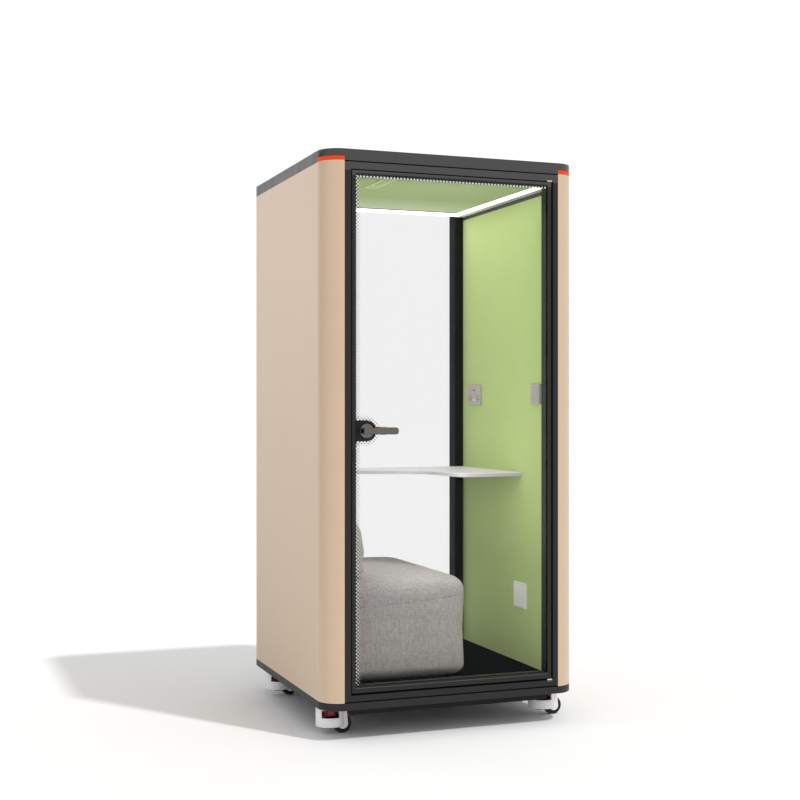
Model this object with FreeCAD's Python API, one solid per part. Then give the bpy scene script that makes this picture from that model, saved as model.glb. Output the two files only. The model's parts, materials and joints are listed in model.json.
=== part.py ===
import FreeCAD, Part
import math
import os

# A one-person office booth on levelling casters, in millimetres.
# X points right and Y to the rear as a visitor faces the door, and Z points up.
# The origin lies on the floor, under the middle of the cabin.

# Cabin
booth_width = 1090.0
booth_depth = 1100.0
booth_height = 2300.0
corner_radius = 84.0
roof_band_height = 45.0
base_rim_height = 29.0
caster_height = 122.0
wall_thickness = 67.0
seam_gap = 1.0
fit_gap = 0.3
overrun = 20.0

# Base tray and the pan below it
rim_wall = 4.0
tray_plate = 3.0
rib_thickness = 6.0
pan_width = 852.0
pan_depth = 1024.0
pan_height = 28.0
pan_wall = 3.0
swivel_clearance = 4.0

# Floor
board_thickness = 24.0
carpet_thickness = 6.0

# Side walls
panel_thickness = 12.0
felt_thickness = 12.0
felt_top_drop = 61.0
top_rail_height = 17.0

# Corner posts
post_wall = 3.0
post_flange = 30.0

# Front and rear frames
frame_depth = 75.0
jamb_width = 27.0
sill_height = 32.0
header_height = 32.0
corner_flange_thickness = 4.0
stop_reach = 12.0
stop_depth = 25.0
glazing_rebate = 12.0
glass_thickness = 10.0
rear_glass_inset = 1.0

# Roof
roof_wall = 20.0
roof_plate = 3.0
lens_height = 16.0
lens_thickness = 10.0
exhaust_slot_count = 5
exhaust_slot_length = 100.0
exhaust_slot_width = 8.0
exhaust_slot_pitch = 20.0

# Ceiling
ceiling_thickness = 12.0
diffuser_thickness = 4.0
side_light_width = 98.0
rear_light_width = 120.0
vent_width = 53.0
vent_length = 244.0
vent_left_inset = 242.0
vent_front_inset = 145.0
vent_flange = 5.0
vent_flange_thickness = 1.5
vent_slat_count = 5
vent_slat_thickness = 2.0

# Fan above the ceiling vent
fan_size = 120.0
fan_height = 25.0
fan_bore_radius = 56.0
fan_bore_facets = 36
fan_tip_gap = 2.0
fan_hub_radius = 20.0
fan_blade_count = 5
fan_blade_thickness = 2.0
fan_blade_pitch_angle = 35.0
fan_strut_width = 6.0
fan_strut_height = 4.0
fan_shaft_radius = 3.0
fan_running_gap = 0.05
fan_float = 1.0

# Door leaf
door_gap = 4.0
leaf_recess = 1.0
leaf_depth = 45.0
stile_width = 15.5
top_rail_width = 18.0
bottom_rail_width = 26.0
glass_recess = 5.0
glass_edge_cover = 6.5

# Door pivots
pivot_edge_distance = 8.0
pivot_front_distance = 9.0
pivot_block_width = 22.0
pivot_block_depth = 19.0
pivot_bottom_let_in = 9.0
pivot_top_let_in = 5.0
pivot_float = 0.5
pivot_pin_radius = 3.5
pivot_pin_length = 11.0
pivot_running_gap = 0.05
bush_size = 13.0

# Lock and lever handles
lock_height = 1206.0
lock_edge_distance = 61.0
lock_plate_radius = 40.5
lock_core_half = 24.0
lock_outer_thickness = 10.0
lock_inner_thickness = 16.0
rose_radius = 27.5
rose_thickness = 8.0
spindle_radius = 4.0
lever_length = 118.0
lever_height = 29.0
lever_tail_length = 24.0
lever_tail_height = 27.0
lever_tail_corner = 4.0
lever_waist_distance = 18.0
lever_waist_height = 23.0
lever_tip_radius = 12.0
lever_thickness = 12.0
lever_chamfer = 1.5
lever_reach = 38.0
lever_neck_radius = 11.0
latch_length = 32.0
latch_height = 16.0
latch_thickness = 10.0
latch_inner_cover = 3.0
latch_tip_length = 3.2
latch_bevel = 2.4
latch_travel = 10.0
keep_depth = 12.0
keep_margin = 4.0

# Desk
desk_top_height = 1012.0
desk_thickness = 16.0
desk_front_inset = 299.0
desk_left_depth = 105.0
desk_curve_depth = 350.0
desk_curve_inset = 328.0
desk_wing_width = 293.0
desk_inner_radius = 110.0
desk_outer_radius = 45.0
cleat_leg = 15.0
cleat_thickness = 3.0
cleat_length = 380.0
cleat_end_inset = 30.0

# Seat and back cushions
seat_width = 609.5
seat_front_inset = 87.0
seat_rear_inset = 13.0
seat_height = 429.0
seat_corner_radius = 56.0
seat_top_radius = 58.0
seat_bottom_radius = 22.0
seat_draw_in = 5.0
seat_crown = 5.0
back_thickness = 168.5
back_end_inset = 2.0
back_height = 265.0
back_corner_radius = 70.0
back_top_radius = 78.0
back_top_rise = 165.0
back_bottom_radius = 20.0
back_draw_in = 3.0
back_crown = 1.0
cushion_gap = 0.5
cushion_edge_steps = 3
cushion_side_steps = 2
cushion_corner_steps = 6
cushion_corner_limit_share = 0.9
cushion_crown_shares = (0.4, 0.8)

# Power socket
socket_width = 142.0
socket_height = 92.0
socket_thickness = 8.0
socket_centre_height = 1354.0
socket_rear_inset = 148.0
socket_corner_radius = 4.0
pin_width = 2.4
pin_length = 7.0
pin_depth = 6.0
pin_spread = 9.0
outlet_spread = 43.0
outlet_drop = 16.0
port_width = 12.0
port_height = 3.9
port_pitch = 18.0
port_rise = 22.0

# Light switch
switch_size = 86.0
switch_thickness = 11.0
switch_centre_height = 1353.0
switch_front_inset = 152.0
switch_corner_radius = 4.0
rocker_size = 68.0
rocker_gap = 0.8
rocker_thickness = 4.0
rocker_proud = 1.0
rocker_recess = 9.0
rocker_pin_radius = 1.5
rocker_pin_length = 2.5
rocker_running_gap = 0.05

# Air grille low on the right wall
grille_width = 122.0
grille_height = 110.0
grille_thickness = 6.0
grille_frame = 7.0
grille_centre_height = 475.0
grille_front_inset = 311.0
louvre_count = 11
louvre_thickness = 1.6
louvre_angle = 35.0
grille_back_thickness = 1.0

# Casters: all four trail to the right, so the wheels stand to the right of their stems
caster_side_inset = 77.0
caster_end_inset = 170.0
caster_plate_size = 90.0
caster_plate_thickness = 5.0
race_radius = 28.0
race_height = 4.4
swivel_gap = 0.4
bearing_running_gap = 0.05
trail = 50.0
wheel_radius = 37.5
wheel_width = 28.0
axle_radius = 4.0
wheel_side_gap = 2.0
wheel_tread_gap = 2.0
cheek_thickness = 6.0
cheek_hub_radius = 20.0
cheek_hub_facets = 8
cheek_top_reach = 62.0
housing_radius = 56.0
housing_low = 33.0
housing_web = 13.0
housing_crown = 15.0
bridge_width = 60.0
window_tail_reach = 44.0
window_wheel_reach = 33.0
window_height = 27.3
dial_seat_half = 14.0
dial_seat_height = 2.0
foot_space_radius = 29.0
caster_facets = 16
dial_radius = 31.5
dial_height = 22.4
dial_float = 0.5
dial_tooth_count = 10
dial_tooth_depth = 2.5
foot_radius = 26.0
foot_bottom = 24.0
foot_thickness = 17.0
foot_wheel_clearance = 1.0
screw_radius = 8.0
screw_gap = 0.3

# Places that follow from the sizes above
half_width = booth_width / 2
half_depth = booth_depth / 2
seam_x = half_width - corner_radius
seam_y = half_depth - corner_radius
tray_z = caster_height
wall_z = tray_z + base_rim_height
roof_z = booth_height - roof_band_height
inner_x = half_width - wall_thickness
inner_y = half_depth - frame_depth
opening_x = seam_x - jamb_width
opening_low = wall_z + sill_height
opening_high = roof_z - header_height
floor_z = wall_z + board_thickness + carpet_thickness
felt_top = roof_z - felt_top_drop
ceiling_z = felt_top + top_rail_height + fit_gap
seat_length = 2 * inner_y - seat_front_inset - seat_rear_inset
stem_x = half_width - caster_side_inset
stem_y = half_depth - caster_end_inset
vent_x = -inner_x + vent_left_inset
vent_y = -inner_y + vent_front_inset
leaf_x = opening_x - door_gap
leaf_low = opening_low + door_gap
leaf_high = opening_high - door_gap
leaf_front = -half_depth + leaf_recess
leaf_back = leaf_front + leaf_depth
leaf_glass_front = leaf_front + glass_recess
leaf_glass_back = leaf_glass_front + glass_thickness
pivot_x = leaf_x - pivot_edge_distance
pivot_y = -half_depth + pivot_front_distance
lock_x = -opening_x + lock_edge_distance
lock_outer_face = leaf_glass_front - lock_outer_thickness
lock_inner_face = leaf_glass_back + lock_inner_thickness
latch_y = lock_inner_face - latch_inner_cover - latch_thickness / 2


def vec(x, y, z):
    return FreeCAD.Vector(x, y, z)


def block(x_low, x_high, y_low, y_high, z_low, z_high):
    size = (x_high - x_low, y_high - y_low, z_high - z_low)
    return Part.makeBox(*size, vec(x_low, y_low, z_low))


def upright(radius, x, y, z_low, z_high):
    """A vertical cylinder."""
    return Part.makeCylinder(radius, z_high - z_low, vec(x, y, z_low))


def across(radius, x, z, y_low, y_high):
    """A cylinder along Y."""
    return Part.makeCylinder(radius, y_high - y_low, vec(x, y_low, z), vec(0, 1, 0))


def corner_points(x_low, x_high, y_low, y_high, radius, z, steps):
    """Four lists of points, one along each round corner of a rectangle that is level at z."""
    centres = (
        (x_high - radius, y_low + radius),
        (x_high - radius, y_high - radius),
        (x_low + radius, y_high - radius),
        (x_low + radius, y_low + radius),
    )
    corners = []
    for quarter, (x, y) in enumerate(centres):
        angles = [math.radians(90 * (quarter - 1 + step / steps)) for step in range(steps + 1)]
        corners.append([vec(x + radius * math.cos(a), y + radius * math.sin(a), z) for a in angles])
    return corners


def rounded_rectangle(x_low, x_high, y_low, y_high, radius, z):
    """A closed wire, level at z, with four round corners."""
    arcs = corner_points(x_low, x_high, y_low, y_high, radius, z, 2)
    edges = []
    for points, following in zip(arcs, arcs[1:] + arcs[:1]):
        edges.append(Part.Arc(*points).toShape())
        edges.append(Part.LineSegment(points[-1], following[0]).toShape())
    return Part.Wire(edges)


def rounded_block(x_low, x_high, y_low, y_high, radius, z_low, z_high):
    wire = rounded_rectangle(x_low, x_high, y_low, y_high, radius, z_low)
    return Part.Face(wire).extrude(vec(0, 0, z_high - z_low))


def prism(sides, inner_radius, z_low, z_high):
    """A regular upright prism round the Z axis, given the radius of the circle inside it."""
    radius = inner_radius / math.cos(math.pi / sides)
    angles = [2 * math.pi * (index + 0.5) / sides for index in range(sides)]
    outline = polygon([vec(radius * math.cos(a), radius * math.sin(a), z_low) for a in angles])
    return Part.Face(outline).extrude(vec(0, 0, z_high - z_low))


def polygon(points):
    return Part.Wire(Part.makePolygon(list(points) + [points[0]]).Edges)


def moved(shape, x, y):
    copy = shape.copy()
    copy.translate(vec(x, y, 0))
    return copy


def mirrored(shape, flip_x, flip_y):
    """The same shape on the other side of the cabin's middle planes."""
    if flip_x:
        shape = shape.mirror(vec(0, 0, 0), vec(1, 0, 0))
    if flip_y:
        shape = shape.mirror(vec(0, 0, 0), vec(0, 1, 0))
    return shape


def save(name, *solids):
    shape = solids[0] if len(solids) == 1 else Part.makeCompound(list(solids))
    shape.exportStep("parts/" + name + ".step")


# Base: a folded tray that carries the walls, and a recessed pan that stiffens it


def base_tray():
    tray = rounded_block(-half_width, half_width, -half_depth, half_depth, corner_radius, tray_z, wall_z)
    hollow = rounded_block(
        -half_width + rim_wall,
        half_width - rim_wall,
        -half_depth + rim_wall,
        half_depth - rim_wall,
        corner_radius - rim_wall,
        tray_z + tray_plate,
        wall_z + overrun,
    )
    ribs = []
    for x in (-seam_x, seam_x):
        ribs.append(
            block(x - rib_thickness / 2, x + rib_thickness / 2, -half_depth, half_depth, tray_z, wall_z)
        )
    for y in (-seam_y, seam_y):
        ribs.append(
            block(-half_width, half_width, y - rib_thickness / 2, y + rib_thickness / 2, tray_z, wall_z)
        )
    for rib in ribs:
        hollow = hollow.cut(rib)
    return tray.cut(hollow)


def pan_outline(inset, z_low, z_high):
    """The pan's plan, notched where each caster turns."""
    half_x = pan_width / 2 - inset
    half_y = pan_depth / 2 - inset
    pan = block(-half_x, half_x, -half_y, half_y, z_low, z_high)
    sweep = trail + wheel_radius + swivel_clearance + inset
    for x in (-stem_x, stem_x):
        for y in (-stem_y, stem_y):
            pan = pan.cut(block(x - sweep, x + sweep, y - sweep, y + sweep, z_low, z_high))
    return pan


def base_pan():
    low = tray_z - pan_height
    return pan_outline(0, low, tray_z).cut(pan_outline(pan_wall, low + pan_wall, tray_z))


def floor_layer(z_low, z_high):
    x = inner_x - fit_gap
    y = inner_y - fit_gap
    return block(-x, x, -y, y, z_low, z_high)


# Walls and corner posts


def side_panel():
    y = seam_y - seam_gap
    return block(half_width - panel_thickness, half_width, -y, y, wall_z, roof_z)


def wall_core():
    y = seam_y - seam_gap
    low = inner_x + felt_thickness + fit_gap
    return block(low, half_width - panel_thickness - fit_gap, -y, y, wall_z, roof_z)


def felt_panel():
    y = inner_y - fit_gap
    return block(inner_x, inner_x + felt_thickness, -y, y, wall_z, felt_top)


def top_rail():
    """The dark rail above the felt, which carries the ceiling's edge."""
    y = inner_y - fit_gap
    low = felt_top + fit_gap
    return block(inner_x, inner_x + felt_thickness, -y, y, low, felt_top + top_rail_height)


def corner_post():
    """A quarter-round tube: an outer arc, two seam flanges and a slanted web."""
    arc_points = []
    for step in range(3):
        angle = math.radians(45 * step)
        x = seam_x + corner_radius * math.cos(angle)
        arc_points.append(vec(x, seam_y + corner_radius * math.sin(angle), wall_z))
    front_flange = vec(seam_x, half_depth - post_flange, wall_z)
    side_flange = vec(half_width - post_flange, seam_y, wall_z)
    edges = [
        Part.Arc(*arc_points).toShape(),
        Part.LineSegment(arc_points[-1], front_flange).toShape(),
        Part.LineSegment(front_flange, side_flange).toShape(),
        Part.LineSegment(side_flange, arc_points[0]).toShape(),
    ]
    outer = Part.Face(Part.Wire(edges))
    inner = outer.makeOffset2D(-post_wall, 2)
    height = vec(0, 0, roof_z - wall_z)
    return outer.extrude(height).cut(inner.extrude(height))


# Front and rear frames, each with a sill, two jambs and a header


def frame_blank():
    """The ring without its opening, on the rear side."""
    blank = block(-seam_x, seam_x, inner_y, half_depth, wall_z, roof_z)
    reach = inner_x + felt_thickness
    lip = block(-reach, reach, inner_y, inner_y + corner_flange_thickness, wall_z, roof_z)
    return blank.fuse(lip).removeSplitter()


def rear_frame():
    glass_inner = half_depth - rear_glass_inset - glass_thickness - fit_gap
    ring = frame_blank()
    ring = ring.cut(
        block(-opening_x, opening_x, inner_y - overrun, half_depth + overrun, opening_low, opening_high)
    )
    rebate_x = opening_x + glazing_rebate
    rebate_low = opening_low - glazing_rebate
    rebate_high = opening_high + glazing_rebate
    return ring.cut(block(-rebate_x, rebate_x, glass_inner, half_depth + overrun, rebate_low, rebate_high))


def rear_glass():
    x = opening_x + glazing_rebate - fit_gap
    low = opening_low - glazing_rebate + fit_gap
    high = opening_high + glazing_rebate - fit_gap
    outer = half_depth - rear_glass_inset
    return block(-x, x, outer - glass_thickness, outer, low, high)


def front_frame():
    ring = mirrored(frame_blank(), False, True)
    stop_y = -inner_y - stop_depth
    ring = ring.cut(block(-opening_x, opening_x, -half_depth - overrun, stop_y, opening_low, opening_high))
    stop_x = opening_x - stop_reach
    stop_high = opening_high - stop_reach
    ring = ring.cut(block(-stop_x, stop_x, stop_y, -inner_y + overrun, opening_low, stop_high))
    for shape in pivot_blocks():
        ring = ring.cut(shape)
    keep_y = latch_thickness / 2 + keep_margin
    keep_z = latch_height / 2 + keep_margin
    keep = block(
        -opening_x - keep_depth,
        -opening_x,
        latch_y - keep_y,
        latch_y + keep_y,
        lock_height - keep_z,
        lock_height + keep_z,
    )
    return ring.cut(keep)


# Roof cap with its slotted exhaust, and the orange corner lenses under its front corners


def lens_ring(outer, inner, high):
    """A quarter ring on top of a corner post."""
    ring = upright(outer, seam_x, seam_y, roof_z, high)
    ring = ring.cut(upright(inner, seam_x, seam_y, roof_z, high))
    return ring.common(block(seam_x, half_width, seam_y, half_depth, roof_z, high))


def corner_lens():
    return lens_ring(corner_radius, corner_radius - lens_thickness, roof_z + lens_height)


def roof_cap():
    cap = rounded_block(-half_width, half_width, -half_depth, half_depth, corner_radius, roof_z, booth_height)
    inner_radius = corner_radius - roof_wall
    hollow = rounded_block(
        -half_width + roof_wall,
        half_width - roof_wall,
        -half_depth + roof_wall,
        half_depth - roof_wall,
        inner_radius,
        roof_z,
        booth_height - roof_plate,
    )
    cap = cap.cut(hollow)
    pocket = lens_ring(
        corner_radius + overrun, corner_radius - lens_thickness - fit_gap, roof_z + lens_height + fit_gap
    )
    for flip_x in (False, True):
        cap = cap.cut(mirrored(pocket, flip_x, True))
    for index in range(exhaust_slot_count):
        y = vent_y + exhaust_slot_pitch * (index - (exhaust_slot_count - 1) / 2)
        slot = block(
            vent_x - exhaust_slot_length / 2,
            vent_x + exhaust_slot_length / 2,
            y - exhaust_slot_width / 2,
            y + exhaust_slot_width / 2,
            booth_height - roof_plate,
            booth_height,
        )
        cap = cap.cut(slot)
    return cap


# Ceiling: a felt board whose middle hangs down between the light strips


def ceiling_middle(z_low, z_high):
    """The space inside the light strips, open towards the door."""
    x = inner_x - side_light_width
    return block(-x, x, -inner_y + fit_gap, inner_y - rear_light_width, z_low, z_high)


def ceiling_vent_hole(inset, z_low, z_high):
    x = vent_width / 2 - inset
    y = vent_length / 2 - inset
    return block(vent_x - x, vent_x + x, vent_y - y, vent_y + y, z_low, z_high)


def ceiling_panel():
    step = ceiling_z + diffuser_thickness
    top = ceiling_z + ceiling_thickness
    x = inner_x + felt_thickness
    y = inner_y - fit_gap
    panel = block(-x, x, -y, y, step, top).fuse(ceiling_middle(ceiling_z, step)).removeSplitter()
    return panel.cut(ceiling_vent_hole(vent_flange - fit_gap, ceiling_z, top))


def light_diffuser():
    x = inner_x + felt_thickness
    y = inner_y - fit_gap
    plate = block(-x, x, -y, y, ceiling_z, ceiling_z + diffuser_thickness - fit_gap)
    hole_x = inner_x - side_light_width + fit_gap
    hole_y = inner_y - rear_light_width + fit_gap
    return plate.cut(block(-hole_x, hole_x, -inner_y, hole_y, ceiling_z, ceiling_z + diffuser_thickness))


def ceiling_vent():
    low = ceiling_z - vent_flange_thickness
    high = ceiling_z + ceiling_thickness
    frame = ceiling_vent_hole(0, low, ceiling_z).fuse(ceiling_vent_hole(vent_flange, ceiling_z, high))
    neck_wall = vent_flange + vent_slat_thickness
    frame = frame.cut(ceiling_vent_hole(neck_wall, low, high))
    pitch = (vent_width - 2 * neck_wall) / (vent_slat_count + 1)
    y = vent_length / 2 - neck_wall
    slat_high = high - ceiling_thickness / 2
    for index in range(vent_slat_count):
        x = vent_x - vent_width / 2 + neck_wall + pitch * (index + 1)
        half = vent_slat_thickness / 2
        frame = frame.fuse(block(x - half, x + half, vent_y - y, vent_y + y, low, slat_high))
    return frame.removeSplitter()


def fan_housing():
    low = ceiling_z + ceiling_thickness
    high = low + fan_height
    half = fan_size / 2
    body = block(vent_x - half, vent_x + half, vent_y - half, vent_y + half, low, high)
    body = body.cut(moved(prism(fan_bore_facets, fan_bore_radius, low, high), vent_x, vent_y))
    strut_low = high - fan_strut_height
    reach = (fan_bore_radius + half) / 2
    narrow = fan_strut_width / 2
    for x, y in ((reach, narrow), (narrow, reach), (fan_hub_radius, fan_hub_radius)):
        body = body.fuse(block(vent_x - x, vent_x + x, vent_y - y, vent_y + y, strut_low, high))
    shaft = upright(fan_shaft_radius, vent_x, vent_y, low + fan_height / 3, high)
    return body.fuse(shaft).removeSplitter()


def fan_rotor():
    """A hub with slanted blades, bored for the shaft."""
    low = ceiling_z + ceiling_thickness + fan_strut_height / 2
    high = ceiling_z + ceiling_thickness + fan_height - fan_strut_height - fan_float
    rotor = moved(prism(2 * fan_blade_count, fan_hub_radius, low, high), vent_x, vent_y)
    slant = math.radians(fan_blade_pitch_angle)
    half_width = (high - low - fan_blade_thickness) / (2 * math.sin(slant))
    half_width = min(half_width, fan_hub_radius)
    half_thickness = fan_blade_thickness / 2
    tip = math.sqrt((fan_bore_radius - fan_tip_gap) ** 2 - half_width ** 2)
    root = fan_hub_radius / 2
    for index in range(fan_blade_count):
        blade = block(root, tip, -half_width, half_width, -half_thickness, half_thickness)
        blade.rotate(vec(0, 0, 0), vec(1, 0, 0), fan_blade_pitch_angle)
        blade.rotate(vec(0, 0, 0), vec(0, 0, 1), 360 * index / fan_blade_count)
        blade.translate(vec(vent_x, vent_y, (low + high) / 2))
        rotor = rotor.fuse(blade)
    bore = upright(fan_shaft_radius + fan_running_gap, vent_x, vent_y, low, high)
    return rotor.cut(bore).removeSplitter()


# Door leaf: a slim frame round a single sheet of glass, hung on two pivots at its right edge


def leaf_glass(grow):
    x = leaf_x - stile_width + glass_edge_cover + grow
    low = leaf_low + bottom_rail_width - glass_edge_cover - grow
    high = leaf_high - top_rail_width + glass_edge_cover + grow
    return block(-x, x, leaf_glass_front - grow, leaf_glass_back + grow, low, high)


def latch_box(grow, length):
    """The latch bolt's place, from its tip towards the middle of the door."""
    tip = -leaf_x - latch_tip_length
    half_y = latch_thickness / 2 + grow
    half_z = latch_height / 2 + grow
    return block(
        tip, tip + length, latch_y - half_y, latch_y + half_y, lock_height - half_z, lock_height + half_z
    )


def door_leaf_frame():
    leaf = block(-leaf_x, leaf_x, leaf_front, leaf_back, leaf_low, leaf_high)
    inner_half = leaf_x - stile_width
    low = leaf_low + bottom_rail_width
    high = leaf_high - top_rail_width
    leaf = leaf.cut(block(-inner_half, inner_half, leaf_front, leaf_back, low, high))
    leaf = leaf.cut(leaf_glass(fit_gap))
    leaf = leaf.cut(latch_box(fit_gap, stile_width + latch_tip_length))
    for shape in pivot_bushes(False):
        leaf = leaf.cut(shape)
    return leaf


def lock_plate(y_low, y_high):
    """A plate that is straight at the stile and half round towards the glass."""
    left = -leaf_x + stile_width + fit_gap
    disc = across(lock_plate_radius, lock_x, lock_height, y_low, y_high)
    low = lock_height - lock_plate_radius
    bar = block(left, lock_x, y_low, y_high, low, lock_height + lock_plate_radius)
    return disc.fuse(bar).removeSplitter()


def lock_core(grow, x_low):
    """The part of the lock that stands in the notch of the glass."""
    half = lock_core_half + grow
    return block(
        x_low,
        lock_x + half,
        leaf_glass_front - fit_gap,
        leaf_glass_back + fit_gap,
        lock_height - half,
        lock_height + half,
    )


def door_glass():
    return leaf_glass(0).cut(lock_core(fit_gap, -leaf_x))


def lock_case():
    """Two plates that clamp the glass, joined through the notch in its edge."""
    case = lock_plate(lock_outer_face, leaf_glass_front - fit_gap)
    case = case.fuse(lock_core(0, -leaf_x + stile_width + fit_gap))
    case = case.fuse(lock_plate(leaf_glass_back + fit_gap, lock_inner_face)).removeSplitter()
    case = case.cut(across(spindle_radius + fit_gap, lock_x, lock_height, lock_outer_face, lock_inner_face))
    return case.cut(latch_box(fit_gap, latch_length + latch_travel + fit_gap))


def lock_rose(inner_side):
    """A round cover plate with a hole for the spindle."""
    start = lock_inner_face if inner_side else lock_outer_face - rose_thickness
    end = start + rose_thickness
    rose = across(rose_radius, lock_x, lock_height, start, end)
    return rose.cut(across(spindle_radius + fit_gap, lock_x, lock_height, start, end))


def lever(inner_side):
    """One handle: a flat bar with a short tail, a waist and a round tip, on a round neck."""
    front = -lever_reach
    half = lever_height / 2
    tail_half = lever_tail_height / 2
    upper = [
        vec(-lever_tail_length, front, tail_half),
        vec(0, front, tail_half),
        vec(lever_waist_distance, front, lever_waist_height / 2),
        vec(lever_waist_distance + lever_height, front, half),
        vec(lever_length, front, half),
    ]
    lower = [vec(point.x, front, -point.z) for point in reversed(upper)]
    bar = Part.Face(polygon(upper + lower)).extrude(vec(0, lever_thickness, 0))
    for end, radius in ((lever_length, lever_tip_radius), (-lever_tail_length, lever_tail_corner)):
        corners = []
        for edge in bar.Edges:
            first, last = edge.firstVertex().Point, edge.lastVertex().Point
            if abs(first.x - end) + abs(last.x - end) + abs(first.z - last.z) < fit_gap:
                corners.append(edge)
        bar = bar.makeFillet(radius, corners)
    rim = [edge for edge in bar.Edges if all(abs(v.Point.y - front) < fit_gap for v in edge.Vertexes)]
    bar = bar.makeChamfer(lever_chamfer, rim)
    neck = across(lever_neck_radius, 0, 0, front + lever_thickness, -fit_gap)
    solid = bar.fuse(neck).removeSplitter()
    if inner_side:
        solid = solid.mirror(vec(0, 0, 0), vec(0, 1, 0))
        place = lock_inner_face + rose_thickness
    else:
        place = lock_outer_face - rose_thickness
    solid.translate(vec(lock_x, place, lock_height))
    return solid


def lever_outer():
    """The outer handle with the spindle that passes through the lock."""
    start = lock_outer_face - rose_thickness - lever_reach / 2
    end = lock_inner_face + rose_thickness + lever_reach / 2
    spindle = across(spindle_radius, lock_x, lock_height, start, end)
    return lever(False).fuse(spindle).removeSplitter()


def lever_inner():
    start = lock_inner_face + rose_thickness
    end = start + lever_reach / 2 + fit_gap
    return lever(True).cut(across(spindle_radius + fit_gap / 2, lock_x, lock_height, start, end))


def latch_bolt():
    bolt = latch_box(0, latch_length)
    tip = -leaf_x - latch_tip_length
    half_y = latch_thickness / 2
    bevel = polygon(
        (
            vec(tip, latch_y + half_y, lock_height - latch_height),
            vec(tip + latch_bevel, latch_y + half_y, lock_height - latch_height),
            vec(tip, latch_y + half_y - latch_bevel, lock_height - latch_height),
        )
    )
    return bolt.cut(Part.Face(bevel).extrude(vec(0, 0, 2 * latch_height)))


def pivot_blocks():
    """The two fixed pivots, let into the sill and the header, with their pins."""
    x_low = opening_x - pivot_block_width
    blocks = []
    levels = (
        (opening_low - pivot_bottom_let_in, leaf_low - pivot_float, leaf_low - pivot_float, 1),
        (leaf_high + pivot_float, opening_high + pivot_top_let_in, leaf_high + pivot_float, -1),
    )
    for low, high, pin_start, direction in levels:
        body = block(x_low, opening_x, -half_depth, -half_depth + pivot_block_depth, low, high)
        pin = Part.makeCylinder(
            pivot_pin_radius, pivot_pin_length, vec(pivot_x, pivot_y, pin_start), vec(0, 0, direction)
        )
        blocks.append(body.fuse(pin).removeSplitter())
    return blocks


def pivot_bushes(bored):
    """The bearing blocks let into the leaf's bottom and top rails."""
    half = bush_size / 2
    length = pivot_pin_length + fit_gap
    bushes = []
    for low in (leaf_low, leaf_high - length):
        bush = block(pivot_x - half, pivot_x + half, pivot_y - half, pivot_y + half, low, low + length)
        if bored:
            bore = pivot_pin_radius + pivot_running_gap
            bush = bush.cut(upright(bore, pivot_x, pivot_y, low, low + length))
        bushes.append(bush)
    return bushes


# Desk: a wing on the right wall that narrows into a shelf along the rear glass


def desk_top():
    right = inner_x - fit_gap
    rear = inner_y - fit_gap
    low = desk_top_height - desk_thickness
    front = -inner_y + desk_front_inset
    curve = vec(inner_x - desk_curve_inset, rear - desk_curve_depth, low)
    wing = vec(inner_x - desk_wing_width, front, low)
    outline = polygon(
        (
            vec(-right, rear, low),
            vec(-right, rear - desk_left_depth, low),
            curve,
            wing,
            vec(right, front, low),
            vec(right, rear, low),
        )
    )
    slab = Part.Face(outline).extrude(vec(0, 0, desk_thickness))
    for corner, radius in ((curve, desk_inner_radius), (wing, desk_outer_radius)):
        edges = [
            edge
            for edge in slab.Edges
            if all(math.hypot(v.Point.x - corner.x, v.Point.y - corner.y) < fit_gap for v in edge.Vertexes)
        ]
        slab = slab.makeFillet(radius, edges)
    return slab


def desk_cleats():
    """Two steel angles on the side walls that carry the desk."""
    high = desk_top_height - desk_thickness
    cleats = []
    lengths = ((False, cleat_length), (True, desk_left_depth - cleat_end_inset))
    for flip, length in lengths:
        y_high = inner_y - cleat_end_inset
        y_low = y_high - length + (cleat_end_inset if flip else 0)
        upper = block(inner_x - cleat_leg, inner_x, y_low, y_high, high - cleat_thickness, high)
        lower = block(inner_x - cleat_thickness, inner_x, y_low, y_high, high - cleat_leg, high)
        cleats.append(mirrored(upper.fuse(lower).removeSplitter(), flip, False))
    return cleats


# Cushions: stacked level outlines, round at the edges, drawn in at the sides and crowned on top


def cushion_levels(half_width, height, top_radius, top_rise, bottom_radius, draw_in, crown):
    """Pairs of height and inset, from the flat bottom to the crown."""
    levels = []
    for step in range(cushion_edge_steps):
        angle = math.radians(90 * (step + 0.5) / cushion_edge_steps)
        levels.append((bottom_radius * (1 - math.cos(angle)), bottom_radius * (1 - math.sin(angle))))
    levels[0] = (0, levels[0][1])
    shoulder = height - crown - top_rise
    for step in range(cushion_side_steps + 1):
        share = step / cushion_side_steps
        z = bottom_radius + (shoulder - bottom_radius) * share
        levels.append((z, draw_in * math.sin(math.pi * share)))
    for step in range(1, cushion_edge_steps + 1):
        angle = math.radians(90 * step / cushion_edge_steps)
        levels.append((shoulder + top_rise * math.sin(angle), top_radius * (1 - math.cos(angle))))
    for share in cushion_crown_shares:
        levels.append((height - crown * (1 - share) ** 2, top_radius + (half_width - top_radius) * share))
    return levels


def cushion(x_low, y_low, z_low, width, length, radius, levels):
    rings = []
    for z, inset in levels:
        limit = min(width, length) / 2 - inset
        corner = min(radius, cushion_corner_limit_share * limit)
        sides = (x_low + inset, x_low + width - inset, y_low + inset, y_low + length - inset)
        corners = corner_points(*sides, corner, z_low + z, cushion_corner_steps)
        rings.append([point for points in corners for point in points])
    faces = [Part.Face(polygon(rings[0])), Part.Face(polygon(rings[-1]))]
    for lower, upper in zip(rings, rings[1:]):
        for index in range(-1, len(lower) - 1):
            corners = (lower[index], lower[index + 1], upper[index + 1], upper[index])
            faces.append(Part.Face(polygon(corners)))
    shell = Part.makeShell(faces)
    shell.sewShape()
    return Part.makeSolid(shell)


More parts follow.
